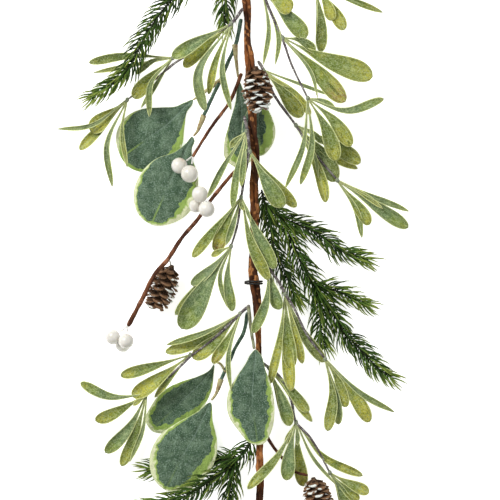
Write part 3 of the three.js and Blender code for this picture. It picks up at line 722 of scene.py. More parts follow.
# %% Layout of the leaf sprays
# spray: the stem's route, then its whorls, each as the knuckle's place and its leaves
# leaf: middle x, middle y, tip x, tip y, width, rise, arch, tone
SPRAYS = {
    "spray_top_left": (
        [(-7.5, 190, 32), (-15, 180, 33), (-30, 171, 30), (-45, 159, 26), (-60, 150, 22),
         (-75, 138, 19), (-99, 121, 15)],
        [
            ((-15, 180, 33), [(-45, 163, -62, 153, 10, 2, 5, "sage"),
             (-35, 163, -53, 146, 10, -6, 0, "gold"), (-41, 138, -36, 111, 8, -4, 6, "grey"),
             (-28, 148, -33, 124, 6, -4, 2, "gold"), (-22, 143, -15, 111, 5, 1, 5, "sage")]),
            ((-62, 154, 22), [(-77, 152, -92, 141, 5, -3, 0, "dark"),
             (-80, 138, -94, 122, 11, -4, 0, "gold"), (-79, 134, -81, 107, 5, -4, 4, "sage"),
             (-76, 132, -88, 114, 4, -6, 0, "sage"), (-98, 156, -130, 151, 7, -8, 0, "dark"),
             (-98, 148, -127, 143, 4, -10, 0, "olive")]),
            ((-99, 121, 15), [(-115, 108, -129, 96, 13, -2, 0, "gold"),
             (-128, 100, -156, 97.5, 4, -2, 4, "sage"), (-118, 101, -138, 81, 8, -7, -1, "gold"),
             (-115, 84, -111, 50.5, 5, -2, 4, "sage"), (-103, 98, -99, 66, 4, -2, 2, "olive")]),
        ],
    ),
    "spray_top_right_rear": (
        [(3.5, 240, 24), (16, 232, 23), (34, 222, 22), (52, 212, 21)],
        [
            ((52, 212, 21), [(57, 185, 57, 159, 9, -3, 2, "dark"),
             (55, 188, 54, 169, 4, -6, 0, "sage"), (67, 192, 76, 177, 10, -4, 0, "gold"),
             (62, 196, 66, 184, 9, -1, 2, "gold"), (80, 201, 107, 191, 5, -4, 0, "olive"),
             (72, 216, 92, 214, 9, -6, 0, "sage"), (62, 228, 80, 238, 10, -8, 0, "olive"),
             (50, 230, 56, 248, 9, -8, 0, "sage")]),
        ],
    ),
    "spray_top_right": (
        [(4, 236, 32), (8, 212, 34), (16, 190, 34), (25, 170, 33), (33, 148, 32), (46, 121, 31)],
        [
            ((10, 206, 34), [(15, 174, 10.5, 147, 4, 0, 0, "sage"),
             (23, 165, 20, 147, 4, -1, 0, "sage"), (27, 189, 45, 169, 13, -4, 0, "sage"),
             (22, 198, 33, 190, 13, 0, 2, "gold")]),
            ((26, 169, 33), [(40, 167, 52, 158, 8, -3, 0, "dark"),
             (60, 152, 98, 138, 17, -5, 0, "olive"), (50, 146, 76, 118, 14, -4, 0, "rusty"),
             (50, 138, 54, 120, 3, 0, 0, "sage")]),
            ((46, 121, 31), [(77, 111, 107, 121, 7, -5, 2, "sage"),
             (58, 119, 68, 114, 4, -2, 0, "sage"), (42, 82, 28, 49, 5, 0, 3, "sage"),
             (49, 82, 40, 52, 6, -2, 1, "sage"), (60, 98, 69, 71, 12, -3, 0, "olive"),
             (66, 104, 81, 83, 11, -5, 0, "olive")]),
        ],
    ),
    "spray_right_rear": (
        [(8, 149, 22), (11, 144, 22), (18, 127, 21), (36, 101, 21), (52, 78, 20), (70, 56, 20)],
        [
            ((11, 144, 22), [(38, 134, 67, 123.5, 3, -6, 0, "sage"),
             (33, 128, 49, 109, 7, -5, -1, "gold"), (27, 126, 42, 107, 12, -6, 0, "olive"),
             (14, 141, 32, 130, 3, -1, 0, "gold")]),
            ((37, 100, 21), [(52, 71, 61, 38, 9, -3, 0, "gold"), (52, 75, 55, 57, 3, 0, 0, "sage"),
             (56, 79, 69, 55, 14, -5, 0, "dark"), (50, 94, 59, 85, 5, -1, 0, "sage"),
             (66, 84, 89, 70, 12, -5, 0, "olive"), (64, 76, 87, 65.5, 6, -8, 0, "gold")]),
            ((70, 56, 20), [(86, 30, 90, 9.5, 5, -1, 0, "sage"), (84, 38, 96, 20, 10, -2, 0, "olive"),
             (97, 38, 127.5, 18, 10.5, -5, 0, "sage"), (92, 44, 107, 33, 4, -1, 0, "gold"),
             (98, 43, 128, 31, 5, -2, 0, "sage")]),
        ],
    ),
    "spray_centre": (
        [(-4, 104, 30), (-2, 94, 35), (-1, 78, 36), (-4, 60, 37), (-7, 42, 36), (-10, 20, 34),
         (-15, 3, 32)],
        [
            ((-3, 94, 35), [(-21, 66, -34, 41, 5, 5, 3, "sage"), (-10, 88, -16, 81, 5, 2, 0, "dark"),
             (-4, 85, -5, 77, 4, 3, 0, "sage"), (-10, 64, -14, 33, 6, 6, 2, "sage"),
             (-5, 70, -7, 50, 5, 6, 1, "sage")]),
            ((0, 78, 36), [(11, 58, 26.5, 34, 13, -1, 3, "sage"),
             (14, 60, 37, 34, 9, -5, 0, "olive")]),
            ((-7, 42, 36), [(-25, 20, -46, -6, 8, -6, 1, "olive"),
             (-19, 22, -28, -1, 11, -7, 0, "rusty"), (-13, 22, -19, 4, 5, -1, 0, "sage"),
             (1, 6, 15, -24, 9, -3, 1, "olive"), (4, 17, 20, -15, 10, -4, 0, "sage"),
             (-7, 36, -5, 31, 4, 2, 0, "olive"), (-3, 33, 1, 22, 3, 3, 0, "sage")]),
            ((-15, 3, 32), [(-28, -12, -47, -28, 8, -2, 2, "grey"),
             (-36, -24, -60, -52, 8, -8, 0, "dark"), (-34, -27, -55, -63, 18, -6, 2, "sage"),
             (-24, -1, -31, -5, 5, -3, 0, "gold"), (-24, -22, -18, -46, 4, -3, 0, "sage"),
             (-18, -23, -14, -49, 8, -5, 0, "sage")]),
        ],
    ),
    "spray_lower_left": (
        [(-2.5, -46, 27), (-8, -51, 27), (-27, -69, 25), (-46, -84, 22), (-60, -97, 20),
         (-83, -116, 18)],
        [
            ((-8, -51, 27), [(-34, -65, -67, -76, 5, -1, 3, "sage"),
             (-40, -73, -68, -82, 9, -5, -1, "olive"), (-28, -73, -46, -87, 12, -6, 0, "olive"),
             (-18, -72, -30, -91, 8, -3, 0, "rusty"), (-17, -84, -15, -112, 4, 10, 3, "sage")]),
            ((-48, -84, 22), [(-77, -93, -104, -101, 9, -2, 3, "olive"),
             (-73, -103, -95, -118, 12, -6, 0, "gold"), (-65, -104, -77, -119, 5, -7, 0, "olive")]),
            ((-83, -116, 18), [(-112, -118, -137, -107, 8, -6, 0, "sage"),
             (-109, -131, -125, -138, 10, -8, 0, "olive"), (-89, -121, -94, -125, 4, 1, 0, "gold"),
             (-98, -144, -117, -164, 10, -8, 0, "sage"), (-92, -147, -104, -175, 9, -10, 0, "olive"),
             (-86, -144, -97, -171, 4, -4, 3, "sage")]),
        ],
    ),
    "spray_lower_right": (
        [(11.2, -2, 26), (15, -14, 27.5), (22, -24, 29), (28, -35, 30), (35, -46, 30), (45, -67, 29),
         (60, -87, 28)],
        [
            ((15, -14, 27.5), [(19, -32, 24, -47.5, 10, 3, 1, "sage"),
             (13, -40, 2, -66, 8, 12, 3, "sage")]),
            ((28, -35, 30), [(24, -70, 16, -107, 7, -3, 1, "gold"),
             (30, -66, 33, -95, 11, -4, 0, "olive"), (30, -76, 33, -113, 10, -5, -1, "gold"),
             (36, -66, 42, -91, 7, -5, 0, "gold"), (42, -66, 60, -90, 9, -9, 0, "dark")]),
            ((60, -87, 28), [(66, -117, 62, -145, 9, -3, 1, "olive"),
             (68, -116, 71, -140, 8, -6, 0, "grey"), (71, -106, 77, -126, 9, -4, 0, "vivid"),
             (80, -112, 96, -138, 11, -6, 0, "gold"), (88, -114, 116, -130, 5, -4, 1, "sage")]),
        ],
    ),
    "spray_bottom_right": (
        [(12.2, -92, 24), (25, -103, 23), (33, -120, 22), (37, -138, 21), (48, -150, 20),
         (57, -165, 18), (64, -179, 17)],
        [
            ((15, -94.5, 24), [(26, -120, 32, -141, 10, -1, 2, "sage"),
             (23, -118, 27, -135, 5, -5, 0, "dark"), (39, -124, 50, -138, 6, -5, 0, "olive"),
             (37, -117, 47, -130, 9, -2, 0, "olive")]),
            ((37, -138, 21), [(22, -165, -2, -190, 8, 15, -3, "olive"),
             (31, -149, 28, -157, 4, 0, 0, "gold"), (32, -160, 29, -184.5, 11, 3, 1, "sage"),
             (39, -166, 43, -191, 10, -11, 0, "gold"), (38, -149, 38, -157, 4, 1, 0, "sage"),
             (50, -166, 70, -190, 3, -5, 0, "sage"), (59, -166, 91, -182, 7, -7, 0, "gold")]),
            ((64, -179, 17), [(72, -191, 78, -205, 8, -7, 0, "sage"),
             (74, -190, 88, -202, 8, -6, -1, "olive"), (76, -186, 96, -196, 9, -5, 0, "gold"),
             (73, -194, 84, -213, 12, -10, -1, "vivid")]),
        ],
    ),
}
TONES = {  # yellow, dark, rust, pale
    "sage": (0.05, 0.0, 0.0, 0.15),
    "olive": (0.6, 0.38, 0.0, 0.0),
    "gold": (0.85, 0.1, 0.25, 0.0),
    "dark": (0.4, 0.8, 0.0, 0.0),
    "rusty": (0.6, 0.1, 1.0, 0.0),
    "grey": (0.05, 0.0, 0.0, 0.6),
    "vivid": (0.8, 0.45, 0.0, 0.0),
}
print(sum(len(leaves) for _, whorls in SPRAYS.values() for _, leaves in whorls), "spray leaves")

# %% [markdown]
# A spray leaf is spoon shaped: a stalk about 1.6 mm wide, a blade that widens slowly to three
# quarters of the length, and a rounded tip.  Narrow leaves are widest nearer the middle and end in a
# point.  The section is a thin lens folded a little along the midrib, and the rim waves gently.
# A flat section swept along the leaf's curve gives all of that on one grid of points.

# %% Spray leaves
LEAF_RINGS = 30
LEAF_SIDES = 22
LEAF_SPREAD = 1.07  # the finished leaf is a little wider than the layout's width
BROAD_LEAF = 7.0  # from this width on a leaf ends in a round tip
STALK_HALF_WIDTH = 0.8
STALK_SHARE = 0.1  # share of the length before the blade begins
LEAF_START = 1.2  # distance of a leaf's foot from the middle of its knuckle
TIP_CROWDING = 1.15  # draws the rings together towards the tip
LEAF_THICKNESS = 0.32  # the stalk is thicker
RIPPLES = 1.6  # waves of the rim along one leaf
GROOVE_DEPTH = 0.22
GROOVE_WIDTH = 0.5
KNUCKLE_RADIUS = 1.6
KNUCKLE_LENGTH = 2.08  # half of its length


def leaf_outline(u, width):
    """Half width in mm along a leaf: stalk + (blade - stalk) * rise(u), closed by a round tip.

    rise is a smooth step from the stalk to the widest place, and past that place the outline
    follows an ellipse, raised to a power that is larger on a narrow leaf, whose tip is a point.
    """
    slim = np.clip((BROAD_LEAF - width) / 4, 0, 1)
    widest = 0.78 - 0.16 * slim
    stalk = min(STALK_HALF_WIDTH, 0.42 * width)
    s = np.clip((u - STALK_SHARE) / (widest - STALK_SHARE), 0, 1)
    rise = s * s * (3 - 2 * s)
    end = np.clip((u - widest) / (1 - widest), 0, 1)
    tip = np.sqrt(np.maximum(1 - end**2, 0)) ** (1 + 0.7 * slim)
    return (stalk + (width / 2 - stalk) * rise) * np.maximum(tip, 0.02)


def spray_leaf(hub, leaf, draw):
    """One leaf: a lens section of half width w(u), folded and waved, swept from hub to tip."""
    mid_x, mid_y, tip_x, tip_y, width, rise, arch, tone = leaf
    hub = np.array(hub, float)
    middle = np.array([mid_x, mid_y, hub[2] + rise / 2 + arch])
    tip = np.array([tip_x, tip_y, hub[2] + rise])
    outward = unit(middle - hub)
    path = smooth_path([hub + LEAF_START * outward, middle, tip], LEAF_RINGS)
    u = np.linspace(0, 1, LEAF_RINGS)
    u = 1 - (1 - u) ** TIP_CROWDING
    path = np.stack([np.interp(u, np.linspace(0, 1, LEAF_RINGS), path[:, i]) for i in range(3)], 1)
    half = leaf_outline(u, LEAF_SPREAD * width)[:, None]
    angle = ring_angles(LEAF_SIDES)
    across = np.cos(angle)
    fold, wave, twist = draw.uniform(0.2, 0.7), draw.uniform(0.02, 0.06) * width, draw.normal(0, 0.16)
    phase = draw.uniform(0, TURN)
    blade = np.clip(half / (width / 2), 0, 1)
    thick = LEAF_THICKNESS + 0.5 * (1 - blade) + 0.1 * np.sin(np.pi * u)[:, None]
    ripple = wave * across**2 * np.sin(TURN * RIPPLES * u[:, None] + phase + 2.0 * (across > 0))
    lift = fold * half * (np.abs(across) ** 1.4) * blade + ripple * blade
    groove = -GROOVE_DEPTH * np.exp(-((across * half / GROOVE_WIDTH) ** 2)) * (np.sin(angle) > 0) * blade
    turn = twist * u[:, None]
    wide = half * across * np.cos(turn) - lift * np.sin(turn)
    high = lift * np.cos(turn) + half * across * np.sin(turn) + thick * np.sin(angle) / 1.6 + groove
    yellow, dark, rust, pale = TONES[tone]
    marks = {
        "along": u[None, :, None],
        "edge": (half * (1 - np.abs(across)))[None],
        "rib": (half * np.abs(across))[None],
        "under": (np.sin(angle) < -0.05) * 0.8 + pale,
        "yellow": yellow + draw.normal(0, 0.08),
        "dark": np.clip(dark + draw.normal(0, 0.06), 0, 1),
        "rust": rust,
    }
    return sweep(path[None], wide[None], high[None], **marks)


def knuckle(place):
    """A small rough ball on the stem: an ellipsoid swept from pole to pole."""
    t = np.linspace(-1, 1, 12)
    x, y, z = place
    path = np.stack([np.full_like(t, x), y + KNUCKLE_LENGTH * t, np.full_like(t, z)], axis=1)
    radius = (KNUCKLE_RADIUS * np.sqrt(np.maximum(1 - t**2, 0.02)))[:, None]
    angle = ring_angles(12)
    radius = radius * (1 + 0.1 * np.sin(3 * angle + x))
    wide, high = radius * np.cos(angle), radius * np.sin(angle)
    return sweep(path[None], wide[None], high[None], green=0.85)


def spray_leaves(whorls, seed):
    """All the leaves of one spray, each with its own small differences."""
    draw = np.random.default_rng(seed)
    return merged([spray_leaf(hub, leaf, draw) for hub, leaves in whorls for leaf in leaves])


def spray_stem(stem, whorls, seed):
    """The spray's stem with a knuckle at each whorl."""
    bar = round_bar(rooted(stem), 1.3, 0.8, rings=150, sides=12, bumps=0.16, seed=seed)
    return merged([bar] + [knuckle(hub) for hub, _ in whorls])


for seed, (name, (stem, whorls)) in enumerate(SPRAYS.items()):
    make_piece(name + "_leaves", spray_leaves(whorls, seed), LEAF_FINISH, [name])
    make_piece(name + "_stem", spray_stem(stem, whorls, seed), STEM_FINISH, [name])


# %% [markdown]
# The large eucalyptus leaves are die-cut from printed cloth over a moulded midrib.  Each outline
# starts at the neck and goes round; beside each outline point stand the widths of the cream margin
# and of the lime zone there, because the print differs from leaf to leaf.  A leaf is a plane that
# rises from the neck to the tip, with a shallow dome, a crease along the midrib and a wavy rim.

# %% Layout of the large leaves
# outline point: x, y, cream width, lime width
LARGE_LEAVES = {
    "gum_leaf_upper_left": {
        "outline": [
            (-46, 122, 0.3, 0), (-52.5, 120, 0.3, 0), (-60, 116.8, 0.3, 0), (-72, 115.8, 0.3, 0),
            (-88, 114.5, 0.4, 0),
            (-101, 108, 1.5, 3), (-108.5, 95, 3.2, 5), (-107, 80, 1, 3), (-98, 67, 0.4, 3),
            (-84, 63, 0.4, 3), (-68, 69, 0.4, 6), (-55.5, 84, 0.4, 6), (-53, 101, 0.4, 2),
            (-51, 112, 0.3, 0), (-46.5, 118.6, 0.3, 0),
        ],
        "tip": (-106, 75), "heights": (3.5, 0.1), "streak": 0.7,
    },
    "gum_leaf_left": {
        "outline": [
            (-46.5, 92, 0.3, 0), (-52, 86.5, 0.3, 0), (-61, 79.5, 0.3, 0), (-76, 74, 0.4, 0),
            (-88.5, 62, 1.6, 3),
            (-94.5, 45, 2.4, 3), (-90, 28, 1, 2), (-78, 20, 1, 2.5), (-62, 22, 3, 5),
            (-49, 31, 5, 10), (-42.5, 48, 3, 6), (-42.5, 62, 0.6, 3), (-46.5, 74, 0.3, 0),
            (-47, 82, 0.3, 0), (-44.8, 88.8, 0.3, 0),
        ],
        "tip": (-80, 20), "heights": (6, 3.5), "streak": 0.6,
    },
    "gum_leaf_rear_left": {
        "outline": [
            (-9, 137, 0.3, 0), (-12, 119, 0.3, 0), (-17, 102, 0.5, 0), (-21, 86, 2, 4),
            (-20, 74, 5, 8), (-12, 67.5, 4, 9), (-2, 70, 3, 6), (6, 80, 1, 3),
            (7.5, 95, 0.5, 2), (3, 112, 0.4, 0), (-4, 126, 0.3, 0),
        ],
        "tip": (-12, 67.5), "heights": (13, 1), "streak": 0.2,
    },
    "gum_leaf_rear_right": {
        "outline": [
            (7, 127, 0.3, 2), (13, 116, 0.4, 4), (18, 106, 0.8, 7), (20.5, 95, 2, 9),
            (17.5, 84, 2.4, 8), (9, 76, 1.5, 5), (-1, 80, 0.5, 2), (-6, 90, 0.4, 0),
            (-6, 102, 0.3, 0), (0, 116, 0.3, 0),
        ],
        "tip": (9, 76), "heights": (17, 11), "streak": 0.4,
    },
    "gum_leaf_lower_left": {
        "outline": [
            (-29, -92, 0.3, 0), (-33.5, -98, 0.3, 0), (-42, -102.5, 0.3, 0),
            (-56, -107, 0.4, 2), (-70, -114, 0.6, 3),
            (-80, -126, 1.6, 4), (-85, -139, 3, 5), (-80, -147, 3, 6), (-66, -149, 2.6, 7),
            (-50, -142, 1.5, 8), (-38, -128, 0.8, 5), (-31, -113, 0.4, 2),
            (-29.5, -101, 0.3, 0),
        ],
        "tip": (-80, -147), "heights": (0, 0), "streak": 0.2,
    },
    "gum_leaf_bottom_left": {
        "outline": [
            (-32, -123, 0.3, 0), (-43, -131, 0.4, 0), (-58, -139, 0.6, 2), (-74, -151, 2.4, 4),
            (-81, -168, 3.4, 5), (-78, -184, 2.6, 4), (-68, -193.5, 2, 4), (-54, -194.5, 2.6, 5),
            (-39, -186, 3.6, 9), (-28.5, -171, 2.2, 9), (-26.5, -154, 0.6, 4), (-30, -138, 0.4, 2),
        ],
        "tip": (-68, -193.5), "heights": (10, 13.5), "streak": 0.2,
    },
    "gum_leaf_front": {
        "outline": [
            (4.4, -79, 0.3, 0), (0.5, -82.5, 0.3, 0), (-3.5, -90, 0.3, 0),
            (-11, -101, 0.8, 0), (-17.5, -114, 2.2, 3.5),
            (-17.5, -130, 3, 5), (-9, -144, 1.6, 4), (1, -154, 0.8, 2), (10, -154.5, 1.6, 3),
            (17, -144, 2.6, 5), (19.5, -128, 2.2, 5), (17, -108, 1.2, 4), (12, -94, 0.3, 0),
            (8.6, -83, 0.3, 0),
        ],
        "tip": (6, -155), "heights": (36, 34), "streak": 0.2,
    },
}
print(len(LARGE_LEAVES), "large leaves")

# %% [markdown]
# The surface of a leaf runs from its spine out to its rim.  The spine is a line from the neck to
# the tip, bent towards the middle of the outline.  Every rim point has a partner on the spine at
# the same share of the length, and the grid between them gives a midrib exactly along the spine.
# The top and the underside share the rim, so the leaf is one closed skin.

# %% Large leaves
SIDE_STEPS = 80
LARGE_ROWS = 18
LARGE_THICKNESS = 0.8
DOME_HEIGHT = 1.5
CREASE_DEPTH = 1.2
CREASE_WIDTH = 1.6
RIM_WAVE = 0.45


def closed_curve(points, count):
    """A smooth closed curve: the middle one of three turns of the curve through the points."""
    points = np.array(points, float)
    three_turns = smooth_path(np.concatenate([points] * 3 + [points[:1]]), 3 * count + 1)
    return three_turns[count : 2 * count + 1]


def resampled(points, count):
    """Points spaced evenly by length along a chain; only x and y count as length."""
    travelled = np.r_[0, np.cumsum(np.linalg.norm(np.diff(points[:, :2], axis=0), axis=1))]
    even = np.linspace(0, travelled[-1], count)
    return np.stack([np.interp(even, travelled, column) for column in points.T], axis=1)


def large_leaf(plan, draw):
    """A closed leaf: point = spine(s) + r * (rim - spine(s)), r from 0 to 1 and back below.

    Its height is the plane's, plus dome * (1 - r^2), less a crease along the spine, plus a wave
    that grows with r^2.  The half thickness is t / 2 * (1 - r^6)^(1/2), so the rim is one edge.
    """
    loop = closed_curve(plan["outline"], 600)
    tip = np.array(plan["tip"], float)
    turn_back = np.argmin(np.linalg.norm(loop[:, :2] - tip, axis=1))
    out = resampled(loop[: turn_back + 1], SIDE_STEPS + 1)
    back = resampled(loop[turn_back:], SIDE_STEPS + 1)
    rim = np.concatenate([out, back[1:-1]])
    share = np.r_[np.arange(SIDE_STEPS + 1), np.arange(SIDE_STEPS - 1, 0, -1)] / SIDE_STEPS
    spine_side = (out[:, :2] + back[::-1, :2]) / 2
    straight = rim[0, :2] + (tip - rim[0, :2]) * np.linspace(0, 1, SIDE_STEPS + 1)[:, None]
    spine = (0.7 * spine_side + 0.3 * straight)[np.round(share * SIDE_STEPS).astype(int)]
    r = np.sin(np.pi / 2 * np.linspace(0, 1, LARGE_ROWS))[:, None, None]
    flat = spine + r * (rim[:, :2] - spine)
    reach = np.linalg.norm(flat[:, :, None] - rim[None, None, :, :2], axis=-1)
    nearest = reach.argmin(axis=2)
    marks = {
        "edge": reach.min(axis=2),
        "rib": r[:, :, 0] * np.linalg.norm(rim[:, :2] - spine, axis=1),
        "along": np.broadcast_to(share, reach.shape[:2]),
        "cream": rim[nearest, 2],
        "lime": rim[nearest, 3],
        "streak": np.full(reach.shape[:2], plan["streak"]),
    }
    run = tip - rim[0, :2]
    low, high = plan["heights"]
    slope = ((flat - rim[0, :2]) @ run) / (run @ run)
    r = r[:, :, 0]
    phase = draw.uniform(0, TURN, 2)
    waves = np.sin(TURN * 2 * share + phase[0]) + 0.6 * np.sin(TURN * 5 * share + phase[1])
    middle = low + (high - low) * slope + LARGE_THICKNESS / 2
    middle = middle + DOME_HEIGHT * (1 - r**2) * np.sin(np.pi * share) ** 0.5 + RIM_WAVE * r**2 * waves
    middle = middle - CREASE_DEPTH * np.exp(-((marks["rib"] / CREASE_WIDTH) ** 2)) * (1 - 0.6 * share)
    thick = LARGE_THICKNESS / 2 * np.sqrt(1 - r**6)
    above = np.dstack([flat, middle + thick])
    below = np.dstack([flat, middle - thick])[-2::-1]
    points = np.concatenate([above, below])
    points[..., 2] = np.maximum(points[..., 2], 0)
    marks = {name: np.concatenate([v, v[-2::-1]]).reshape(-1) for name, v in marks.items()}
    grid = np.arange(points.shape[0] * points.shape[1]).reshape(points.shape[:2])
    turned = np.roll(grid, -1, axis=1)
    faces = np.stack([grid[:-1], grid[1:], turned[1:], turned[:-1]], axis=-1).reshape(-1, 4)
    return {"points": points.reshape(-1, 3), "faces": [faces], "marks": marks}


large_draw = np.random.default_rng(70)
for name, plan in LARGE_LEAVES.items():
    make_piece(name, large_leaf(plan, large_draw), PRINT_FINISH, [name], weld=True)

# %% [markdown]
# The large leaves sit on teal stems.  Each stem branch ends in a stout tan socket that tapers to a
# leaf's neck, as a push-fit leaf of an artificial branch does.

# %% Stems of the large leaves
# branch: route, radius at its start, radius at its end, and 1 where it is a tan socket
LARGE_STEMS = {
    "gum_stem_upper": [
        ([(-7.5, 183, 25), (-12, 163, 22), (-18, 150, 20), (-24, 136, 18), (-30, 124, 15),
          (-38, 107, 12.5)], 1.6, 1.5, 0),
        ([(-12, 163, 22), (-11.5, 156, 21.5), (-9.5, 139, 15.6)], 2.3, 0.8, 1),
        ([(-24, 136, 18), (-32, 131, 13), (-42, 124, 7.2), (-46, 121.8, 5.8)], 2.2, 0.8, 1),
        ([(-38, 107, 12.5), (-44, 94, 9.4), (-45.6, 92.3, 8.6)], 2.4, 0.9, 1),
    ],
    "gum_stem_lower": [
        ([(-2.5, -52, 21), (-5, -66, 19), (-12, -79, 16), (-18, -93, 14), (-24, -106, 12)],
         1.5, 1.4, 0),
        ([(-24, -106, 12), (-28, -117, 11.5), (-31.2, -121.4, 11.8)], 2.3, 0.9, 1),
        ([(-20.5, -97, 13.2), (-24, -92, 9), (-27.6, -91, 2.6)], 1.2, 0.8, 1),
    ],
    "gum_stem_front": [
        ([(-1, -47, 32.5), (0, -56, 34.5), (1.6, -68, 36), (3.4, -78.6, 36.6)], 1.5, 1.2, 0.45),
    ],
}
for name, branches in LARGE_STEMS.items():
    bars = [
        round_bar(rooted(route, 2.0), start, end, rings=50, bumps=0.12, seed=number, tan=tan)
        for number, (route, start, end, tan) in enumerate(branches)
    ]
    make_piece(name, merged(bars), TEAL_FINISH, [name])

# %% [markdown]
# A pine sprig is a wire branch wound with needle strips.  The needles stand all round the branch and
# sweep forward, and the real ones are far too many to place one by one.  A turn of the golden angle
# from each needle to the next spreads them evenly, and small random turns keep them from lining up.
# All the needles of a sprig are one sweep of thin four-sided solids.

# %% Pine sprigs
NEEDLE_GAP = 0.58
NEEDLE_LENGTH = 19.0
NEEDLE_SPLAY = 0.98  # radians between a needle's foot and its branch
NEEDLE_HALF_WIDTHS = np.array([0.4, 0.64, 0.62, 0.5, 0.1])  # from the foot to the point
# branch: route, then the lowest and highest place a needle may reach; the first is the trunk
PINES = {
    "pine_top_left": [
        ([(-8, 243, 27), (-28, 228, 31), (-55, 206, 33), (-66, 195, 33), (-73, 186, 33),
          (-86, 165, 32), (-96, 146, 31), (-115, 129, 29), (-126, 122, 29)], 22, 44),
    ],
    "pine_top": [
        ([(-8.2, 236, 24), (-16, 220, 22), (-19, 205, 20), (-20, 190, 19), (-20, 180, 18)], 10, 28),
    ],
    "pine_right": [
        ([(9.6, 47, 20), (12, 38, 17), (22, 28, 14), (40, 20, 11), (57, 12, 9.5), (72, 0, 9),
          (88, -5, 9), (95, -8, 9)], 0.3, 18),
        ([(12, 38, 17), (15, 28, 15), (17, 15, 13), (20, 0, 12), (27, -15, 11), (33, -30, 10),
          (39, -40, 9)], 0.3, 19),
        ([(26, 26, 13), (35, 5, 11), (40, -8, 11), (46, -18, 10), (52, -28, 10), (60, -30, 9.5),
          (70, -33, 9), (85, -40, 9), (94, -44, 9)], 0.3, 18),
        ([(51, -27, 10), (57, -35, 10), (63, -45, 9.5), (70, -55, 9), (75, -66, 9), (85, -76, 9),
          (95, -87, 9), (105, -97, 9), (114, -103, 9)], 0.3, 18),
        ([(53, -29, 10), (56, -38, 10), (57, -55, 9.5), (58, -70, 9), (60, -78, 9)], 0.3, 18),
    ],
    "pine_bottom": [
        ([(2, -152, 22), (-5, -163, 19), (-12, -169, 15), (-15, -185, 14), (-17, -205, 12)], 3, 22),
        ([(-11, -168, 15.5), (-25, -171, 6.5), (-40, -172, 5), (-62, -175, 5), (-83, -178, 5)],
         0.3, 8),
        ([(-11, -168, 15.5), (-17, -175, 21), (-28, -182, 24.5), (-40, -190, 25), (-55, -199, 23),
          (-80, -206, 20), (-106, -209, 18)], 16, 32),
    ],
}


def needles(route, lowest, highest, draw):
    """The needles of one branch: each starts along a sideways direction and bends forward."""
    rough = smooth_path(route, 200)
    length = np.linalg.norm(np.diff(rough, axis=0), axis=1).sum()
    count = int(length / NEEDLE_GAP)
    line = smooth_path(route, count)[None]
    forward, side, up = (vectors[0] for vectors in directions(line))
    turn = GOLDEN_ANGLE * np.arange(count) + draw.uniform(-0.3, 0.3, count)
    outward = side * np.cos(turn)[:, None] + up * np.sin(turn)[:, None]
    share = np.linspace(0, 1, count)
    reach = NEEDLE_LENGTH * draw.uniform(0.75, 1.1, count) * (1 - 0.2 * share**4)
    sweep_angle = NEEDLE_SPLAY - 0.3 * share**4 + draw.uniform(-0.14, 0.14, count)
    t = np.linspace(0, 1, 5)[None, :, None]
    bend = sweep_angle[:, None, None] * (1.15 - 0.5 * t)
    heading = forward[:, None] * np.cos(bend) + outward[:, None] * np.sin(bend)
    paths = line[0][:, None] + reach[:, None, None] * t * heading
    paths[..., 2] = np.clip(paths[..., 2], lowest + 0.1, highest)
    half = NEEDLE_HALF_WIDTHS[None, :, None]
    angle = ring_angles(4)
    yellow = np.clip(draw.normal(0.25, 0.3, (count, 1, 1)) + 0.9 * (share**6)[:, None, None], 0, 1.4)
    return sweep(
        paths, half * np.cos(angle), 0.6 * half * np.sin(angle), along=t + 0 * half, yellow=yellow
    )


for number, (name, branches) in enumerate(PINES.items()):
    draw = np.random.default_rng(90 + number)
    shapes = [needles(route, low, high, draw) for route, low, high in branches]
    shapes += [
        round_bar(rooted(route, 1.5), 0.9, 0.5, rings=60, sides=8, woody=1)
        for route, _, _ in branches
    ]
    make_piece(name, merged(shapes), PINE_FINISH, [name])

# %% [markdown]
# Two brown twigs carry the berries, and a third carries the lower cone.  Thin white wires leave the
# twigs for the berries, which are foam balls.  A ball swept from pole to pole is a closed
# solid; a slow wave keeps it from being a perfect sphere, and a faint stain marks its lower end.

# %% Berries and their twigs
# wires' and twigs' routes, each with its radius at the start and at the end
BERRY_TWIGS = {
    "berry_twig_upper": [
        ([(-7.6, 139, 28), (-16, 119, 25), (-30, 100, 22), (-46, 75, 19)], 1.5, 1.2),
        ([(-45.5, 75.6, 19), (-49, 73.5, 16), (-51.2, 71.9, 14.5)], 0.6, 0.6),
        ([(-45.8, 75.2, 19), (-46.4, 71, 20.5), (-46.7, 68.9, 21.2)], 0.6, 0.6),
    ],
    "berry_twig_lower": [
        ([(-3.6, 72.5, 25), (-20, 54, 24), (-32, 39, 24), (-40, 27, 24), (-55, 9, 26),
          (-66, -8, 29), (-75, -18, 29.5), (-83, -33, 27), (-92, -50, 20), (-98, -61, 15.5)],
         1.4, 1.9),
        ([(-33.2, 37.5, 24), (-34.6, 38.8, 24.8), (-35.2, 39.3, 25.1)], 0.6, 0.6),
        ([(-97.6, -60.2, 15.6), (-101, -63.2, 15.4), (-104.7, -65.8, 15)], 0.6, 0.6),
        ([(-97.7, -60.4, 15.6), (-98.6, -64, 16.8), (-98.9, -66, 17.7)], 0.6, 0.6),
    ],
    "cone_twig": [
        ([(12.8, -147, 23), (16, -154, 20), (25, -166, 16.5), (36, -178, 19), (46, -180.5, 24)],
         1.4, 1.1),
    ],
}


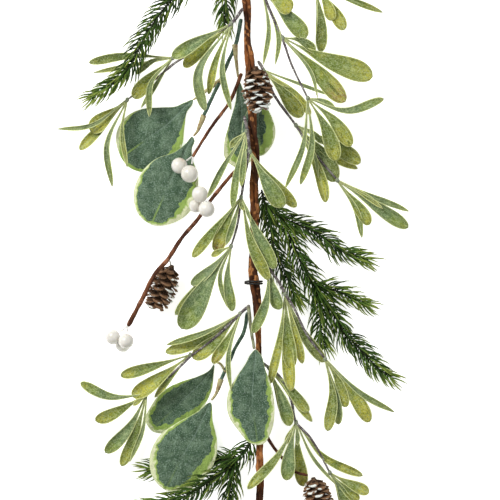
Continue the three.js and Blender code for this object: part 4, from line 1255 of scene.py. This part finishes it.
def ball(centre, radius, heading, seed):
    """A ball from pole to pole: radius * sin(a), 1 + a slow wave, stained near the wire's pole."""
    a = np.linspace(0.03, np.pi - 0.03, 34)
    heading = unit(np.array(heading, float))
    path = np.array(centre) - radius * np.cos(a)[:, None] * heading * 0.99
    angle = ring_angles(40)
    wave = 1 + 0.012 * np.sin(3 * angle + seed) * np.sin(2 * a)[:, None]
    around = radius * np.sin(a)[:, None] * wave
    stain = 0.6 * np.exp(-((a - 0.1) / 0.5) ** 2)[:, None]
    side = unit(np.cross(heading, UP))
    across = np.broadcast_to(side, (1, len(a), 3))
    up = np.broadcast_to(np.cross(side, heading), (1, len(a), 3))
    return sweep(
        path[None], (around * np.cos(angle))[None], (around * np.sin(angle))[None], across, up,
        stain=stain,
    )


for seed, (name, branches) in enumerate(BERRY_TWIGS.items()):
    twig, *wires = [
        round_bar(rooted(route, 1.5 * start), start, end, rings=110, bumps=0.14, seed=seed)
        for route, start, end in branches
    ]
    make_piece(name, twig, TWIG_BARK, [name])
    if wires:
        make_piece(name + "_wires", merged(wires), WHITE_WIRE, [name])
for seed, (name, (centre, radius)) in enumerate(BERRIES.items()):
    heading = (-0.6, -0.7, 0.3) if "end" in name else (-0.5, -0.8, 0.2 * seed - 0.3)
    make_piece(name, ball(centre, radius, heading, seed), PEARL_FINISH, [name])

# %% [markdown]
# A pine cone is a spindle with woody scales on a spiral, and the golden angle is what a real cone
# follows.  Each scale starts at the spindle, leans towards the tip, widens to a rounded lip and
# curls outwards there.  The marks let the finish paint shade deep inside the cone and frost the lips.

# %% Cones
CONE_RADIUS = 13.5
CONE_SCALES = 46
SCALE_RINGS = 9
LIP = 0.88  # share of a scale's length where it is thickest
SCALE_THICKNESS = 0.45
LIP_THICKNESS = 0.75
DISH = 0.18
SCALE_SIDES = 10
CONES = {  # top, where the stalk is, and tip
    "cone_stem": ((4.5, 145, 45.5), (7, 111, 45.5)),
    "cone_left": ((-62.5, -12, 14.2), (-77, -46, 14.2)),
    "cone_bottom": ((50.5, -182, 25), (57, -213, 24)),
}


def cone_scales(length, draw):
    """All the scales of one cone, built along +Z: N spoon shapes swept from the spindle outwards."""
    number = np.arange(CONE_SCALES)
    h = 0.03 + 0.85 * number / (CONE_SCALES - 1)
    turn = GOLDEN_ANGLE * number + draw.uniform(-0.12, 0.12, CONE_SCALES)
    outline = np.sin(np.pi * (0.14 + 0.8 * h)) ** 0.7
    reach = 0.98 * CONE_RADIUS * outline * draw.uniform(0.9, 1.0, CONE_SCALES)
    out = np.stack([np.cos(turn), np.sin(turn), 0 * turn], axis=1)[:, None]
    across = np.stack([-np.sin(turn), np.cos(turn), 0 * turn], axis=1)[:, None]
    u = np.linspace(0, 1, SCALE_RINGS)[None, :, None]
    rise = (0.05 + 0.16 * u**1.2 - 0.04 * u**4 + 0.05 * h[:, None, None]) * length
    paths = out * u * reach[:, None, None] + UP * (h[:, None, None] * length + rise - 1.5)
    along = unit(np.gradient(paths, axis=1))
    up = np.cross(along, np.broadcast_to(across, along.shape))
    angle = ring_angles(SCALE_SIDES)
    width = (0.1 + 0.3 * np.sin(np.pi / 2 * np.minimum(1, u / 0.8)) ** 1.5) * CONE_RADIUS
    width = width * np.sqrt(np.maximum(1 - (np.maximum(u - 0.7, 0) / 0.31) ** 2, 0.03))
    width = width * (0.5 + 0.5 * outline[:, None, None])
    thick = SCALE_THICKNESS + LIP_THICKNESS * np.exp(-(((u - LIP) / 0.1) ** 2))
    thick = thick * np.minimum(1, 0.3 + 6 * (1 - u))
    dish = -DISH * width * np.cos(angle) ** 2
    wide = width * np.cos(angle)
    high = thick * np.sin(angle) + dish
    across = np.broadcast_to(across, paths.shape)
    return sweep(paths, wide, high, across, up, along=u + 0 * wide)


def spindle(length):
    """The cone's middle, along +Z: radius sin(pi * t) ** 0.6, so that both ends close."""
    t = np.linspace(0, 1, 24)
    path = np.stack([0 * t, 0 * t, 0.97 * length * t], axis=1)
    radius = (0.5 * CONE_RADIUS * np.sin(np.pi * np.clip(t, 0.03, 0.98)) ** 0.6)[:, None]
    angle = ring_angles(16)
    across = np.broadcast_to(np.array([1.0, 0, 0]), (1, 24, 3))
    up = np.broadcast_to(np.array([0, 1.0, 0]), (1, 24, 3))
    wide, high = (radius * np.cos(angle))[None], (radius * np.sin(angle))[None]
    return sweep(path[None], wide, high, across, up, along=0.1)


def cone(top, tip, seed):
    """A cone turned so that its own +Z runs from its top to its tip."""
    top, tip = np.array(top, float), np.array(tip, float)
    length = np.linalg.norm(tip - top)
    heading = (tip - top) / length
    shape = merged([spindle(length), cone_scales(length, np.random.default_rng(seed))])
    side = unit(np.cross(heading, UP))
    frame_axes = np.stack([side, np.cross(heading, side), heading])
    shape["points"] = shape["points"] @ frame_axes + top
    return shape


for seed, (name, (top, tip)) in enumerate(CONES.items()):
    make_piece(name, cone(top, tip, seed), CONE_FINISHES[name], [name])
cone_wire = [(-64, -12.5, 14.2), (-64, -9.5, 20), (-65.4, -8.4, 26)]
make_piece("cone_left_wire", round_bar(cone_wire, 0.6, 0.6), WHITE_WIRE, [])

# %% [markdown]
# The visual has to fill the same space as the solids.
